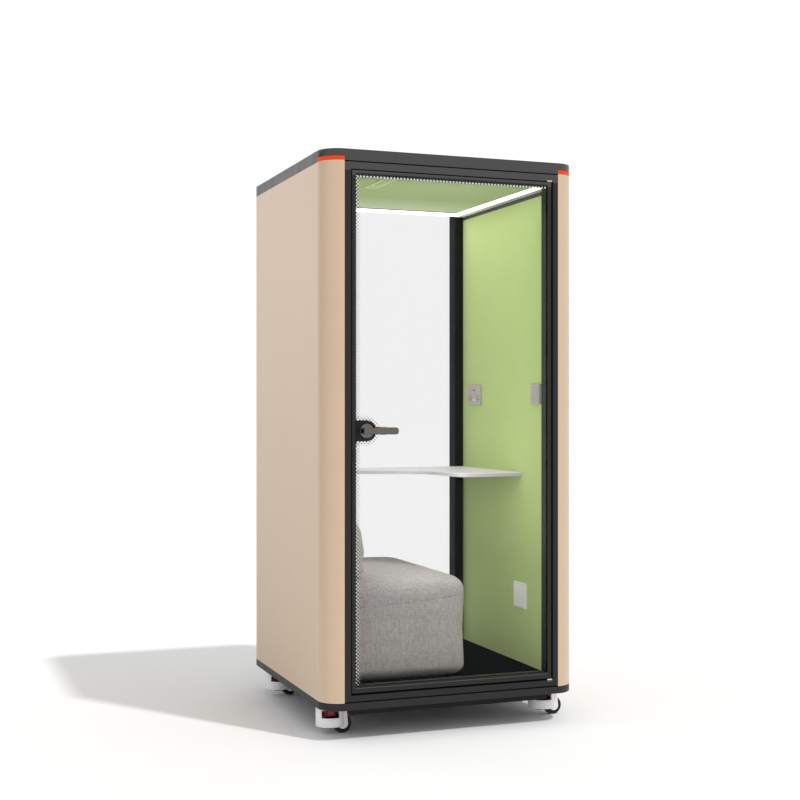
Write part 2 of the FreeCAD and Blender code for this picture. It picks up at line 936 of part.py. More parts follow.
def seat_cushion():
    levels = cushion_levels(
        seat_width / 2,
        seat_height - fit_gap,
        seat_top_radius,
        seat_top_radius,
        seat_bottom_radius,
        seat_draw_in,
        seat_crown,
    )
    return cushion(
        -inner_x + cushion_gap,
        -inner_y + seat_front_inset,
        floor_z + fit_gap,
        seat_width,
        seat_length,
        seat_corner_radius,
        levels,
    )


def back_cushion():
    levels = cushion_levels(
        back_thickness / 2,
        back_height,
        back_top_radius,
        back_top_rise,
        back_bottom_radius,
        back_draw_in,
        back_crown,
    )
    return cushion(
        -inner_x + cushion_gap,
        -inner_y + seat_front_inset + back_end_inset,
        floor_z + seat_height + cushion_gap,
        back_thickness,
        seat_length - 2 * back_end_inset,
        back_corner_radius,
        levels,
    )


# Fittings on the right wall


def wall_plate(width, height, thickness, radius, y, z):
    """A plate on the right wall with round corners."""
    plate = rounded_block(-height / 2, height / 2, -width / 2, width / 2, radius, 0, thickness)
    plate.rotate(vec(0, 0, 0), vec(0, 1, 0), -90)
    plate.translate(vec(inner_x, y, z))
    return plate


def wall_cut(y, z, width, height, depth, face_thickness):
    """A rectangular recess in a plate on the right wall."""
    face = inner_x - face_thickness
    return block(face, face + depth, y - width / 2, y + width / 2, z - height / 2, z + height / 2)


def socket_plate():
    y = inner_y - socket_rear_inset
    z = socket_centre_height
    plate = wall_plate(socket_width, socket_height, socket_thickness, socket_corner_radius, y, z)
    for side in (-1, 1):
        outlet_y = y + side * outlet_spread
        outlet_z = z - outlet_drop
        pins = (
            (0, pin_spread, pin_width, pin_length),
            (-pin_spread, -pin_spread / 2, pin_width, pin_length),
            (pin_spread, -pin_spread / 2, pin_width, pin_length),
        )
        for offset_y, offset_z, width, height in pins:
            pin_y = outlet_y + offset_y
            pin_z = outlet_z + offset_z
            plate = plate.cut(wall_cut(pin_y, pin_z, width, height, pin_depth, socket_thickness))
        port = wall_cut(
            y + side * port_pitch / 2, z + port_rise, port_width, port_height, pin_depth, socket_thickness
        )
        plate = plate.cut(port)
    return plate


def rocker_axis_x():
    return inner_x - switch_thickness - rocker_proud + rocker_thickness / 2


def switch_y():
    return -inner_y + switch_front_inset


def rocker_pins(radius, length):
    """The two short pins at the rocker's sides, along Y."""
    half = rocker_size / 2
    pins = []
    for start in (switch_y() - half - length, switch_y() + half):
        pins.append(across(radius, rocker_axis_x(), switch_centre_height, start, start + length))
    return pins


def switch_plate():
    plate = wall_plate(
        switch_size, switch_size, switch_thickness, switch_corner_radius, switch_y(), switch_centre_height
    )
    hole = rocker_size + 2 * rocker_gap
    plate = plate.cut(wall_cut(switch_y(), switch_centre_height, hole, hole, rocker_recess, switch_thickness))
    for pin in rocker_pins(rocker_pin_radius + rocker_running_gap, rocker_pin_length + fit_gap):
        plate = plate.cut(pin)
    return plate


def switch_rocker():
    face = switch_thickness + rocker_proud
    rocker = wall_cut(switch_y(), switch_centre_height, rocker_size, rocker_size, rocker_thickness, face)
    for pin in rocker_pins(rocker_pin_radius, rocker_pin_length):
        rocker = rocker.fuse(pin)
    return rocker.removeSplitter()


def wall_grille():
    """A frame with slanted louvres in front of a thin back."""
    y = -inner_y + grille_front_inset
    z = grille_centre_height
    face = inner_x - grille_thickness
    frame = wall_cut(y, z, grille_width, grille_height, grille_thickness, grille_thickness)
    inner_width = grille_width - 2 * grille_frame
    inner_height = grille_height - 2 * grille_frame
    depth = grille_thickness - grille_back_thickness
    frame = frame.cut(wall_cut(y, z, inner_width, inner_height, depth, grille_thickness))
    pitch = inner_height / louvre_count
    half_length = inner_width / 2
    half_thickness = louvre_thickness / 2
    opening = wall_cut(y, z, inner_width, inner_height, depth, grille_thickness)
    for index in range(louvre_count):
        slat = block(-depth, depth, -half_length, half_length, -half_thickness, half_thickness)
        slat.rotate(vec(0, 0, 0), vec(0, 1, 0), -louvre_angle)
        level = z - inner_height / 2 + pitch * (index + 0.5)
        slat.translate(vec(face + depth / 2, y, level))
        frame = frame.fuse(slat.common(opening))
    return frame.removeSplitter()


# Casters, each modelled round its own stem and then moved to its corner

housing_high = caster_height - caster_plate_thickness - race_height - swivel_gap
crown_low = housing_high - housing_crown
window_low = crown_low - window_height
slot_half = wheel_width / 2 + wheel_side_gap


def caster_plate():
    """The top plate with the ball race that the housing turns on."""
    half = caster_plate_size / 2
    low = caster_height - caster_plate_thickness
    plate = block(-half, half, -half, half, low, caster_height)
    return plate.fuse(upright(race_radius, 0, 0, low - race_height, low)).removeSplitter()


def caster_cheek(y_low, y_high):
    """One side of the fork: a tapered plate that ends in a hub."""
    outline = [vec(0, y_low, housing_high), vec(cheek_top_reach, y_low, housing_high)]
    for step in range(cheek_hub_facets + 1):
        angle = math.pi * step / cheek_hub_facets
        x = trail + cheek_hub_radius * math.cos(angle)
        outline.append(vec(x, y_low, wheel_radius - cheek_hub_radius * math.sin(angle)))
    outline.append(vec(0, y_low, window_low))
    return Part.Face(polygon(outline)).extrude(vec(0, y_high - y_low, 0))


def caster_housing():
    """The white cast housing: a round skirt, the dial's window and seat, a bridge and the wheel's fork."""
    outer = slot_half + cheek_thickness
    bridge = upright(housing_radius, 0, 0, crown_low, housing_high)
    reach = (-housing_radius, housing_radius)
    bridge = bridge.common(block(*reach, -bridge_width / 2, bridge_width / 2, crown_low, housing_high))
    body = upright(housing_radius, 0, 0, housing_low, crown_low)
    for y_low, y_high in ((-outer, -slot_half), (slot_half, outer)):
        body = body.fuse(caster_cheek(y_low, y_high))
    body = body.cut(block(-window_tail_reach, window_wheel_reach, *reach, window_low, crown_low))
    seat = (-dial_seat_half, dial_seat_half)
    body = body.fuse(block(*seat, *seat, window_low, window_low + dial_seat_height))
    body = body.fuse(bridge)
    body = body.fuse(block(0, cheek_top_reach, -outer, outer, crown_low, housing_high))
    body = body.cut(prism(caster_facets, foot_space_radius, housing_low, window_low - housing_web))
    slot_start = trail - wheel_radius - wheel_tread_gap
    slot_top = 2 * wheel_radius + wheel_tread_gap
    body = body.cut(block(slot_start, 2 * housing_radius, -slot_half, slot_half, 0, slot_top))
    guide = screw_radius + screw_gap
    body = body.cut(block(-guide, guide, -guide, guide, housing_low, window_low + dial_seat_height))
    return body.fuse(across(axle_radius, trail, wheel_radius, -outer, outer)).removeSplitter()


def caster_wheel():
    half = wheel_width / 2
    bore = axle_radius + bearing_running_gap
    wheel = across(wheel_radius, trail, wheel_radius, -half, half)
    return wheel.cut(across(bore, trail, wheel_radius, -half, half))


def caster_dial():
    """The thumb dial that turns on the levelling screw, with a toothed rim."""
    low = window_low + dial_seat_height + dial_float
    outline = []
    for index in range(4 * dial_tooth_count):
        angle = 2 * math.pi * (index + 0.5) / (4 * dial_tooth_count)
        radius = dial_radius - (dial_tooth_depth if index % 4 < 2 else 0)
        outline.append(vec(radius * math.cos(angle), radius * math.sin(angle), low))
    dial = Part.Face(polygon(outline)).extrude(vec(0, 0, dial_height))
    return dial.cut(prism(caster_facets, screw_radius + screw_gap, low, low + dial_height))


def caster_foot():
    """The rubber foot, flat where it passes the wheel, with its levelling screw."""
    high = foot_bottom + foot_thickness
    pad = prism(caster_facets, foot_radius, foot_bottom, high)
    flat = trail - wheel_radius - foot_wheel_clearance
    pad = pad.cut(block(flat, 2 * foot_radius, -2 * foot_radius, 2 * foot_radius, foot_bottom, high))
    return pad.fuse(upright(screw_radius, 0, 0, high, crown_low - dial_float - fit_gap)).removeSplitter()


def build():
    os.makedirs("parts", exist_ok=True)
    save("base_tray", base_tray())
    save("base_pan", base_pan())
    board_top = wall_z + board_thickness
    save("floor_board", floor_layer(wall_z, board_top))
    save("floor_carpet", floor_layer(board_top, floor_z))

    for side, flip in (("right", False), ("left", True)):
        save("side_panel_" + side, mirrored(side_panel(), flip, False))
        save("felt_panel_" + side, mirrored(felt_panel(), flip, False))
        save("corner_lens_" + side, mirrored(corner_lens(), flip, True))
    save("wall_cores", *[mirrored(wall_core(), flip, False) for flip in (False, True)])
    save("wall_top_rails", *[mirrored(top_rail(), flip, False) for flip in (False, True)])
    for end, flip_y in (("rear", False), ("front", True)):
        for side, flip_x in (("right", False), ("left", True)):
            save("corner_post_" + end + "_" + side, mirrored(corner_post(), flip_x, flip_y))

    save("front_frame", front_frame())
    save("rear_frame", rear_frame())
    save("rear_glass", rear_glass())
    save("roof_cap", roof_cap())
    save("ceiling_panel", ceiling_panel())
    save("light_diffuser", light_diffuser())
    save("ceiling_vent", ceiling_vent())
    save("fan_housing", fan_housing())
    save("fan_rotor", fan_rotor())

    save("door_leaf_frame", door_leaf_frame())
    save("door_glass", door_glass())
    save("lock_case", lock_case())
    save("lock_roses", lock_rose(False), lock_rose(True))
    save("lever_outer", lever_outer())
    save("lever_inner", lever_inner())
    save("latch_bolt", latch_bolt())
    save("pivot_blocks", *pivot_blocks())
    save("pivot_bushes", *pivot_bushes(True))

    save("desk_top", desk_top())
    save("desk_cleats", *desk_cleats())
    save("seat_cushion", seat_cushion())
    save("back_cushion", back_cushion())
    save("socket_plate", socket_plate())
    save("switch_plate", switch_plate())
    save("switch_rocker", switch_rocker())
    save("wall_grille", wall_grille())

    caster_pieces = (
        ("housing", caster_housing()),
        ("wheel", caster_wheel()),
        ("dial", caster_dial()),
        ("foot", caster_foot()),
    )
    plates = []
    for end, y in (("rear", stem_y), ("front", -stem_y)):
        for side, x in (("right", stem_x), ("left", -stem_x)):
            for piece, shape in caster_pieces:
                save("caster_" + piece + "_" + end + "_" + side, moved(shape, x, y))
            plates.append(moved(caster_plate(), x, y))
    save("caster_plates", *plates)


build()
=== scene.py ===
import json
import math
import bpy
import bmesh
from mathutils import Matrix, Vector
from mathutils.bvhtree import BVHTree


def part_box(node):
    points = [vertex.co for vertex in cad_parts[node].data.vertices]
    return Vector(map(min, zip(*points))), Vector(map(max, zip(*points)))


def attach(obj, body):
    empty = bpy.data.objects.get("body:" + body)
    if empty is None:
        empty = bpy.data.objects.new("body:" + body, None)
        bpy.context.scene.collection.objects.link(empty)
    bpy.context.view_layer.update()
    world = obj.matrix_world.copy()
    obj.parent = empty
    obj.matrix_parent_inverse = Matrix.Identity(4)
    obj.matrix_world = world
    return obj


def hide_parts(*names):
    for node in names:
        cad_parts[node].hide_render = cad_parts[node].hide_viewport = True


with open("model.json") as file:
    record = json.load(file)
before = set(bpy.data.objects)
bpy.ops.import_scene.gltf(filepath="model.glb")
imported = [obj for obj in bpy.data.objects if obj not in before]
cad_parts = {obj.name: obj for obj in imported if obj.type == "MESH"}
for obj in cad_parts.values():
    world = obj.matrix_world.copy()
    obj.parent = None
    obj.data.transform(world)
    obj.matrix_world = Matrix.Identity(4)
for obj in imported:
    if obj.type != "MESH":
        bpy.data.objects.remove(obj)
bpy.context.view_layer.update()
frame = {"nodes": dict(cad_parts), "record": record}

nodes = frame["nodes"]
scene = bpy.context.scene
scene.view_settings.view_transform = "Standard"


def millimetres(*values):
    """Millimetres as a point in metres."""
    return tuple(value / 1000 for value in values)


def span(node):
    """A node's lowest and highest corners in millimetres."""
    low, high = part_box(node)
    return Vector(low) * 1000, Vector(high) * 1000


def linear(red, green, blue):
    """The linear colour of an sRGB colour given as 0 to 255."""
    result = []
    for value in (red, green, blue):
        share = value / 255
        result.append(share / 12.92 if share <= 0.04045 else ((share + 0.055) / 1.055) ** 2.4)
    return (*result, 1.0)


# Materials

class Shader:
    """A small helper round one material's node tree, in object coordinates that equal metres of the frame."""

    def __init__(self, name, color, roughness, metallic=0.0, **sockets):
        self.material = bpy.data.materials.new(name)
        self.material.use_nodes = True
        self.tree = self.material.node_tree
        self.shader = self.tree.nodes["Principled BSDF"]
        self.color = color
        self.shader.inputs["Base Color"].default_value = color
        self.shader.inputs["Roughness"].default_value = roughness
        self.shader.inputs["Metallic"].default_value = metallic
        for key, value in sockets.items():
            self.shader.inputs[key.replace("_", " ")].default_value = value
        self.coordinates = self.node("ShaderNodeTexCoord").outputs["Object"]
        self.height = None

    def node(self, kind, **settings):
        made = self.tree.nodes.new(kind)
        for key, value in settings.items():
            setattr(made, key, value)
        return made

    def feed(self, socket, value):
        if isinstance(value, bpy.types.NodeSocket):
            self.tree.links.new(value, socket)
        else:
            socket.default_value = value

    def math(self, operation, *values, clamp=False):
        made = self.node("ShaderNodeMath", operation=operation, use_clamp=clamp)
        for socket, value in zip(made.inputs, values):
            self.feed(socket, value)
        return made.outputs[0]

    def scaled(self, scale):
        """The coordinates stretched by a factor for each axis."""
        made = self.node("ShaderNodeMapping")
        self.feed(made.inputs["Vector"], self.coordinates)
        made.inputs["Scale"].default_value = scale
        return made.outputs[0]

    def noise(self, scale, detail=3.0, distortion=0.0, stretch=None):
        made = self.node("ShaderNodeTexNoise")
        self.feed(made.inputs["Vector"], self.scaled(stretch) if stretch else self.coordinates)
        made.inputs["Scale"].default_value = scale
        made.inputs["Detail"].default_value = detail
        made.inputs["Distortion"].default_value = distortion
        return made.outputs["Fac"]

    def cells(self, scale):
        made = self.node("ShaderNodeTexVoronoi")
        self.feed(made.inputs["Vector"], self.coordinates)
        made.inputs["Scale"].default_value = scale
        return made.outputs["Distance"]

    def ramp(self, value, low, high, out_low, out_high):
        made = self.node("ShaderNodeMapRange")
        self.feed(made.inputs["Value"], value)
        for key, number in (("From Min", low), ("From Max", high), ("To Min", out_low), ("To Max", out_high)):
            made.inputs[key].default_value = number
        return made.outputs[0]

    def mixed(self, factor, first, second):
        """Feeds the base colour with a mix of two colours."""
        mix = self.node("ShaderNodeMix", data_type="RGBA")
        self.feed(mix.inputs["Factor"], factor)
        for socket, value in zip([s for s in mix.inputs if s.type == "RGBA"], (first, second)):
            self.feed(socket, value)
        self.feed(self.shader.inputs["Base Color"], [s for s in mix.outputs if s.type == "RGBA"][0])

    def tint(self, factor, darker, lighter):
        """Varies the base colour between two multiples of itself, each given as one number or three."""
        shades = []
        for share in (darker, lighter):
            shares = share if isinstance(share, tuple) else (share, share, share)
            shades.append((*[min(1.0, c * s) for c, s in zip(self.color, shares)], 1.0))
        self.mixed(factor, *shades)

    def layered(self, factor, other):
        """Turns the base colour into another one as a factor rises from 0 to 1."""
        self.mixed(factor, self.shader.inputs["Base Color"].links[0].from_socket, other)

    def along(self, axis, low, high, out_low, out_high):
        """A ramp between two places on an axis, in metres."""
        split = self.node("ShaderNodeSeparateXYZ")
        self.feed(split.inputs[0], self.coordinates)
        return self.ramp(split.outputs[axis], low, high, out_low, out_high)

    def roughen(self, value, low, high):
        """Lets the roughness follow a noise value."""
        self.feed(self.shader.inputs["Roughness"], self.ramp(value, 0.3, 0.7, low, high))

    def bump(self, height, distance):
        """Adds relief of a depth in metres over any relief that is there already."""
        made = self.node("ShaderNodeBump")
        made.inputs["Distance"].default_value = distance
        made.inputs["Strength"].default_value = 1.0
        self.feed(made.inputs["Height"], height)
        if self.height:
            self.feed(made.inputs["Normal"], self.height)
        self.height = made.outputs["Normal"]
        self.feed(self.shader.inputs["Normal"], self.height)


def powder_coat(name, color, roughness, peel=0.00006, gloss=0.5, change=None, shaded_coat=None):
    """Painted metal: fine orange peel, with broad soft changes in gloss, and painted shade under a height, where the
    coat turns darker and less glossy.
    """
    made = Shader(name, color, roughness, Specular_IOR_Level=gloss)
    made.tint(made.noise(3.0, 4.0), 0.96, 1.04)
    # Painted shade: under the given height the coat is darker and its gloss drops.
    if change:
        below = made.along("Z", change, change + 0.006, 1.0, 0.0)
        made.layered(below, shaded_coat)
        made.feed(made.shader.inputs["Specular IOR Level"], made.ramp(below, 0.0, 1.0, gloss, 0.12))
    made.roughen(made.noise(14.0, 4.0), roughness - 0.05, roughness + 0.05)
    made.bump(made.noise(520.0, 2.0), peel)
    return made.material


def laminate(name, color, roughness, grain, foot=None, reach=(0.2, 1.9)):
    """Pressed board: a pebbled surface and a faint uneven tone, with optional painted shade that darkens it towards
    its foot.
    """
    made = Shader(name, color, roughness)
    made.tint(made.noise(2.2, 5.0, 0.3), 0.975, 1.02)
    # Painted shade: under the reach the tone turns to the foot colour.
    if foot:
        made.layered(made.along("Z", *reach, 1.0, 0.0), foot)
    made.roughen(made.noise(30.0, 5.0), roughness - 0.04, roughness + 0.06)
    made.bump(made.cells(700.0), grain)
    return made.material


def felt(name, color, darker, lighter, painted_light_rear=None, foot=None):
    """Needled felt: short fibres in all directions, with optional painted light that makes it lighter to the rear or
    at the foot.
    """
    made = Shader(name, color, 0.95, Sheen_Weight=0.25, Sheen_Roughness=0.5, Specular_IOR_Level=0.2)
    fibres = made.noise(260.0, 6.0, 2.2)
    tufts = made.noise(34.0, 5.0, 0.8)
    blend = made.math("ADD", made.math("MULTIPLY", fibres, 0.65), made.math("MULTIPLY", tufts, 0.35))
    made.tint(made.ramp(blend, 0.36, 0.64, 0.0, 1.0), darker, lighter)
    # Painted light: the felt turns lighter towards the rear or towards its foot.
    if painted_light_rear:
        made.layered(made.along("Y", 0.02, 0.40, 0.0, 1.0), painted_light_rear)
    if foot:
        made.layered(made.along("Z", 0.15, 0.62, 1.0, 0.0), foot)
    made.bump(fibres, 0.0006)
    made.bump(made.noise(900.0, 3.0, 1.0), 0.0002)
    return made.material


def carpet():
    """Short pile with a loop in every cell."""
    made = Shader("short pile carpet", linear(10, 9, 9), 1.0, Specular_IOR_Level=0.0)
    loops = made.cells(330.0)
    made.tint(made.ramp(loops, 0.1, 0.6, 0.0, 1.0), 1.25, 0.8)
    made.bump(loops, 0.0012)
    made.bump(made.noise(60.0, 4.0), 0.0012)
    return made.material


def woven_cloth(name, color):
    """Linen weave laid on each side by its own two axes, with slubs along both threads."""
    made = Shader(name, color, 0.92, Sheen_Weight=0.2, Sheen_Roughness=0.4, Specular_IOR_Level=0.2)
    split = made.node("ShaderNodeSeparateXYZ")
    made.feed(split.inputs[0], made.coordinates)
    side = made.node("ShaderNodeSeparateXYZ")
    made.feed(side.inputs[0], made.node("ShaderNodeTexCoord").outputs["Normal"])
    weights = [made.math("POWER", made.math("ABSOLUTE", side.outputs[axis]), 3.0) for axis in "XYZ"]
    total = made.math("ADD", made.math("ADD", weights[0], weights[1]), weights[2])
    threads, pitch = None, 0.0022
    for weight, (across, along) in zip(weights, (("Y", "Z"), ("X", "Z"), ("X", "Y"))):
        waves = []
        for key in (across, along):
            turns = made.math("MULTIPLY", split.outputs[key], 2 * math.pi / pitch)
            waves.append(made.math("SINE", turns))
        weave = made.math("MULTIPLY", *waves)
        share = made.math("MULTIPLY", weave, made.math("DIVIDE", weight, total))
        threads = share if threads is None else made.math("ADD", threads, share)
    upright_slubs = made.noise(1.0, 3.0, 0.0, stretch=(290.0, 290.0, 36.0))
    level_slubs = made.noise(1.0, 3.0, 0.0, stretch=(55.0, 55.0, 310.0))
    speckle = made.noise(230.0, 3.0)
    patches = made.noise(7.0, 4.0)
    tone = made.math("ADD", made.math("MULTIPLY", upright_slubs, 0.43), made.math("MULTIPLY", level_slubs, 0.35))
    tone = made.math("ADD", tone, made.math("MULTIPLY", speckle, 0.15))
    tone = made.math("ADD", tone, made.math("MULTIPLY", patches, 0.07))
    tone = made.math("ADD", tone, made.math("MULTIPLY", threads, 0.03))
    made.tint(made.ramp(tone, 0.40, 0.60, 0.0, 1.0), (0.76, 0.76, 0.755), (1.20, 1.20, 1.205))
    made.bump(threads, 0.0003)
    made.bump(upright_slubs, 0.0005)
    made.bump(made.noise(5.0, 3.0, 0.4), 0.003)
    return made.material


def metal(name, color, roughness, stretch):
    """Brushed metal: fine lines, drawn out along the axis with the lowest stretch."""
    made = Shader(name, color, roughness, 1.0)
    lines = made.noise(1.0, 4.0, 0.0, stretch=stretch)
    made.tint(made.ramp(lines, 0.35, 0.65, 0.0, 1.0), 0.94, 1.06)
    made.roughen(lines, roughness - 0.06, roughness + 0.08)
    made.bump(lines, 0.00003)
    return made.material


def plastic(name, color, roughness, grain=0.00003, **sockets):
    """Moulded plastic with a fine spark-eroded grain."""
    made = Shader(name, color, roughness, **sockets)
    made.tint(made.noise(40.0, 3.0), 0.97, 1.03)
    made.roughen(made.noise(160.0, 4.0), roughness - 0.05, roughness + 0.05)
    made.bump(made.noise(1500.0, 2.0), grain)
    return made.material


def glass():
    """Clear glass, thin enough to see through without bending the light."""
    made = Shader("clear glass", (0.05, 0.06, 0.06, 1.0), 0.03, Alpha=0.045)
    made.roughen(made.noise(6.0, 3.0), 0.02, 0.05)
    return made.material


def lamp(name, color, strength, base):
    """A lit translucent piece with a faint unevenness."""
    made = Shader(name, base, 0.4, Emission_Strength=strength, Specular_IOR_Level=0.1)
    made.shader.inputs["Emission Color"].default_value = color
    made.tint(made.noise(20.0, 2.0), 0.98, 1.02)
    made.bump(made.noise(800.0, 2.0), 0.00002)
    return made.material


finish = {
    "dark_frame": powder_coat("dark powder coat", linear(56, 54, 56), 0.36),
    "dark_steel": powder_coat("dark base coat", linear(34, 32, 34), 0.45, gloss=0.3),
    "beige_post": powder_coat("beige powder coat", linear(204, 178, 150), 0.34, 0.00003),
    # Painted shade on the side panels: darker towards the floor.
    "beige_panel": laminate("beige laminate", linear(221, 199, 178), 0.55, 0.00004, foot=linear(203, 182, 157)),
    "core": felt("mineral core", linear(120, 120, 120), 0.9, 1.1),
    # Painted light on the wall felt: lighter towards its foot.
    "green_felt": felt("green felt", linear(184, 203, 132), (0.93, 0.95, 0.90), (1.05, 1.04, 1.07),
                       foot=linear(214, 236, 155)),
    "diffuser": lamp("opal light strip", (1.0, 1.0, 0.98, 1.0), 2.2, (0.9, 0.9, 0.88, 1.0)),
    "orange_lens": lamp("orange lens", (1.0, 0.07, 0.0, 1.0), 0.22, (0.60, 0.052, 0.003, 1.0)),
    "board": laminate("raw board", linear(150, 122, 90), 0.7, 0.0001),
    "carpet": carpet(),
    "clear_glass": glass(),
    # Painted shade on the desk's edge: darker under its top face.
    "desk_white": laminate("white laminate", linear(246, 236, 254), 0.45, 0.00002, foot=linear(203, 196, 208),
                           reach=(1.0095, 1.0115)),
    "grey_cloth": woven_cloth("grey linen weave", linear(176, 171, 166)),
    "steel": metal("satin steel", linear(106, 101, 96), 0.36, (60.0, 900.0, 900.0)),
    "bush": metal("turned brass", linear(196, 164, 96), 0.3, (900.0, 900.0, 100.0)),
    "black_plastic": plastic("black plastic", linear(24, 24, 25), 0.5),
    "black_lock": powder_coat("black lock plate", linear(16, 16, 17), 0.4, 0.00003, gloss=0.25),
    "warm_grey_plastic": plastic("warm grey plastic", linear(180, 170, 172), 0.42),
    "white_plastic": plastic("white plastic", linear(240, 238, 240), 0.4),
    "red_plastic": plastic("red plastic", linear(142, 22, 32), 0.3),
    "wheel_plastic": plastic("black nylon", linear(9, 9, 10), 0.4, Specular_IOR_Level=0.3),
    "foot_rubber": plastic("black rubber", linear(20, 20, 20), 0.75, 0.00015),
    "plated_steel": metal("plated steel", linear(200, 200, 200), 0.3, (300.0, 300.0, 300.0)),
    # Looks that only pieces of this script, or single nodes, have
    # Painted shade on the door and front frames: darker and less glossy under a height just below the head.
    "door_frame": powder_coat("door frame coat", linear(56, 54, 56), 0.36, change=2.196, shaded_coat=linear(44, 44, 45)),
    "front_frame": powder_coat("front frame coat", linear(56, 54, 56), 0.36, change=2.215, shaded_coat=linear(43, 43, 43)),
    "shaded_rail": powder_coat("shaded rail coat", linear(40, 40, 39), 0.5, gloss=0.12),
    "gasket": plastic("gasket rubber", linear(12, 12, 13), 0.7, 0.0001, Specular_IOR_Level=0.1),
    # Painted shadow: near-black strips laid in gaps and seams.
    "shadow_gap": plastic("painted shadow strip", linear(3, 3, 3), 0.9, 0.0001, Specular_IOR_Level=0.05),
    # Painted shade: a near-black copy of the frame coat for the rear frame.
    "rear_painted_shade": powder_coat("dark rear frame coat", linear(8, 8, 9), 0.5, gloss=0.06),
    "pan_black": powder_coat("black pan coat", linear(16, 15, 16), 0.5, gloss=0.2),
    "rail_grey": powder_coat("grey rail coat", linear(74, 74, 72), 0.5, gloss=0.2),
    # Painted light on the ceiling and on the grey light covers: lighter towards the rear light strip.
    "ceiling_felt": felt("pale green ceiling", linear(176, 193, 138), 0.97, 1.03, painted_light_rear=linear(232, 238, 218)),
    "cove_grey": felt("grey light cover", linear(192, 192, 186), 0.97, 1.03, painted_light_rear=linear(252, 252, 246)),
    "grille_white": plastic("white grille", linear(251, 251, 252), 0.5),
    "white_frit": plastic("white glass print", linear(252, 252, 252), 0.5),
    "black_frit": plastic("black glass print", linear(6, 6, 6), 0.8, Specular_IOR_Level=0.05),
    "vent_green": powder_coat("pale green vent coat", linear(226, 234, 186), 0.5),
    "vent_mesh": powder_coat("shaded green vent mesh", linear(190, 204, 146), 0.6),
    "trim_grey": powder_coat("grey light trim", linear(110, 118, 98), 0.5),
    # Painted light: a second copy of the weave in another tone for the seat's top, above its seam.
    "seat_top_painted_light": woven_cloth("seat top linen weave", linear(170, 165, 163)),
    "seam_thread": plastic("grey seam thread", linear(112, 109, 105), 0.9, 0.0001),
    # Painted highlight: a light strip along the seams beside the corner posts.
    "post_seam_highlight": powder_coat("light seam bead", linear(226, 206, 182), 0.4),
    "rose_steel": metal("turned steel rose", linear(146, 144, 139), 0.4, (900.0, 900.0, 900.0)),
    # Bright steel for the pivot plates, also used as the painted highlight round the outer handle's edge.
    "bright_steel_and_highlight": metal("bright steel", linear(236, 234, 230), 0.3, (900.0, 60.0, 900.0)),
    # Painted highlight for the bottom rail's top edge.
    "satin_edge_highlight": metal("satin glazing bead", linear(118, 114, 110), 0.4, (30.0, 900.0, 900.0)),
    # Pale pink for the painted highlight on top of the dials.
    "pale_pink": plastic("pale dial cap", linear(226, 206, 208), 0.35),
    # Near-black for painted shade in holes and openings.
    "hole_painted_shade": plastic("dark recess", linear(14, 13, 13), 0.8, Specular_IOR_Level=0.1),
    "switch_grey": plastic("warm grey switch", linear(166, 159, 159), 0.42),
    "port_grey": plastic("grey port tongue", linear(112, 108, 104), 0.5),
}

# Nodes that look otherwise than their slot
node_looks = {
    "front_frame": "front_frame",
    "door_leaf_frame": "door_frame",
    "rear_frame": "rear_painted_shade",
    "base_pan": "pan_black",
    "wall_top_rails": "rail_grey",
    "ceiling_panel": "ceiling_felt",
    "ceiling_vent": "vent_mesh",
    "lock_roses": "rose_steel",
    "wall_grille": "grille_white",
    "switch_plate": "switch_grey",
    "switch_rocker": "switch_grey",
}

# Rounding of a slot's edges, in millimetres
edge_radii = {
    "dark_frame": 0.8,
    "dark_steel": 1.0,
    "beige_panel": 0.6,
    "desk_white": 1.2,
    "steel": 0.8,
    "black_lock": 0.8,
    "warm_grey_plastic": 0.7,
    "white_plastic": 0.8,
    "red_plastic": 0.6,
    "wheel_plastic": 2.5,
    "foot_rubber": 1.2,
    "plated_steel": 0.6,
    "black_plastic": 0.4,
    "orange_lens": 0.5,
}


def soften(piece, width, angle=40):
    """Rounds a piece's sharp edges by millimetres, so that they catch the light."""
    weld = piece.modifiers.new("weld", "WELD")
    weld.merge_threshold = 0.00001
    bevel = piece.modifiers.new("bevel", "BEVEL")
    bevel.width = width / 1000
    bevel.segments = 2
    bevel.limit_method = "ANGLE"
    bevel.angle_limit = math.radians(angle)
    bevel.harden_normals = True
    bevel.use_clamp_overlap = True


slot_of = {part["node"]: part["material_slot"] for part in frame["record"]["subparts"]}
for node_name, node_piece in nodes.items():
    slot = slot_of[node_name]
    node_piece.data.materials.clear()
    node_piece.data.materials.append(finish[node_looks.get(node_name, slot)])
    if slot in edge_radii:
        soften(node_piece, edge_radii[slot])


# Mesh helpers

def mesh_object(name, vertices, faces, look, body, smooth=True):
    """A piece from vertices in metres, with its faces turned outwards."""
    mesh = bpy.data.meshes.new(name)
    mesh.from_pydata([tuple(v) for v in vertices], [], faces)
    bm = bmesh.new()
    bm.from_mesh(mesh)
    bmesh.ops.recalc_face_normals(bm, faces=bm.faces)
    bm.to_mesh(mesh)
    bm.free()
    for face in mesh.polygons:
        face.use_smooth = smooth
    piece = bpy.data.objects.new(name, mesh)
    scene.collection.objects.link(piece)
    mesh.materials.append(finish[look])
    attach(piece, body)
    return piece


def sweep_faces(count, size):
    """The faces between the closed profiles of a closed sweep."""
    faces = []
    for index in range(count):
        other = (index + 1) % count
        for step in range(size):
            following = (step + 1) % size
            here, there = index * size, other * size
            faces.append((here + step, here + following, there + following, there + step))
    return faces


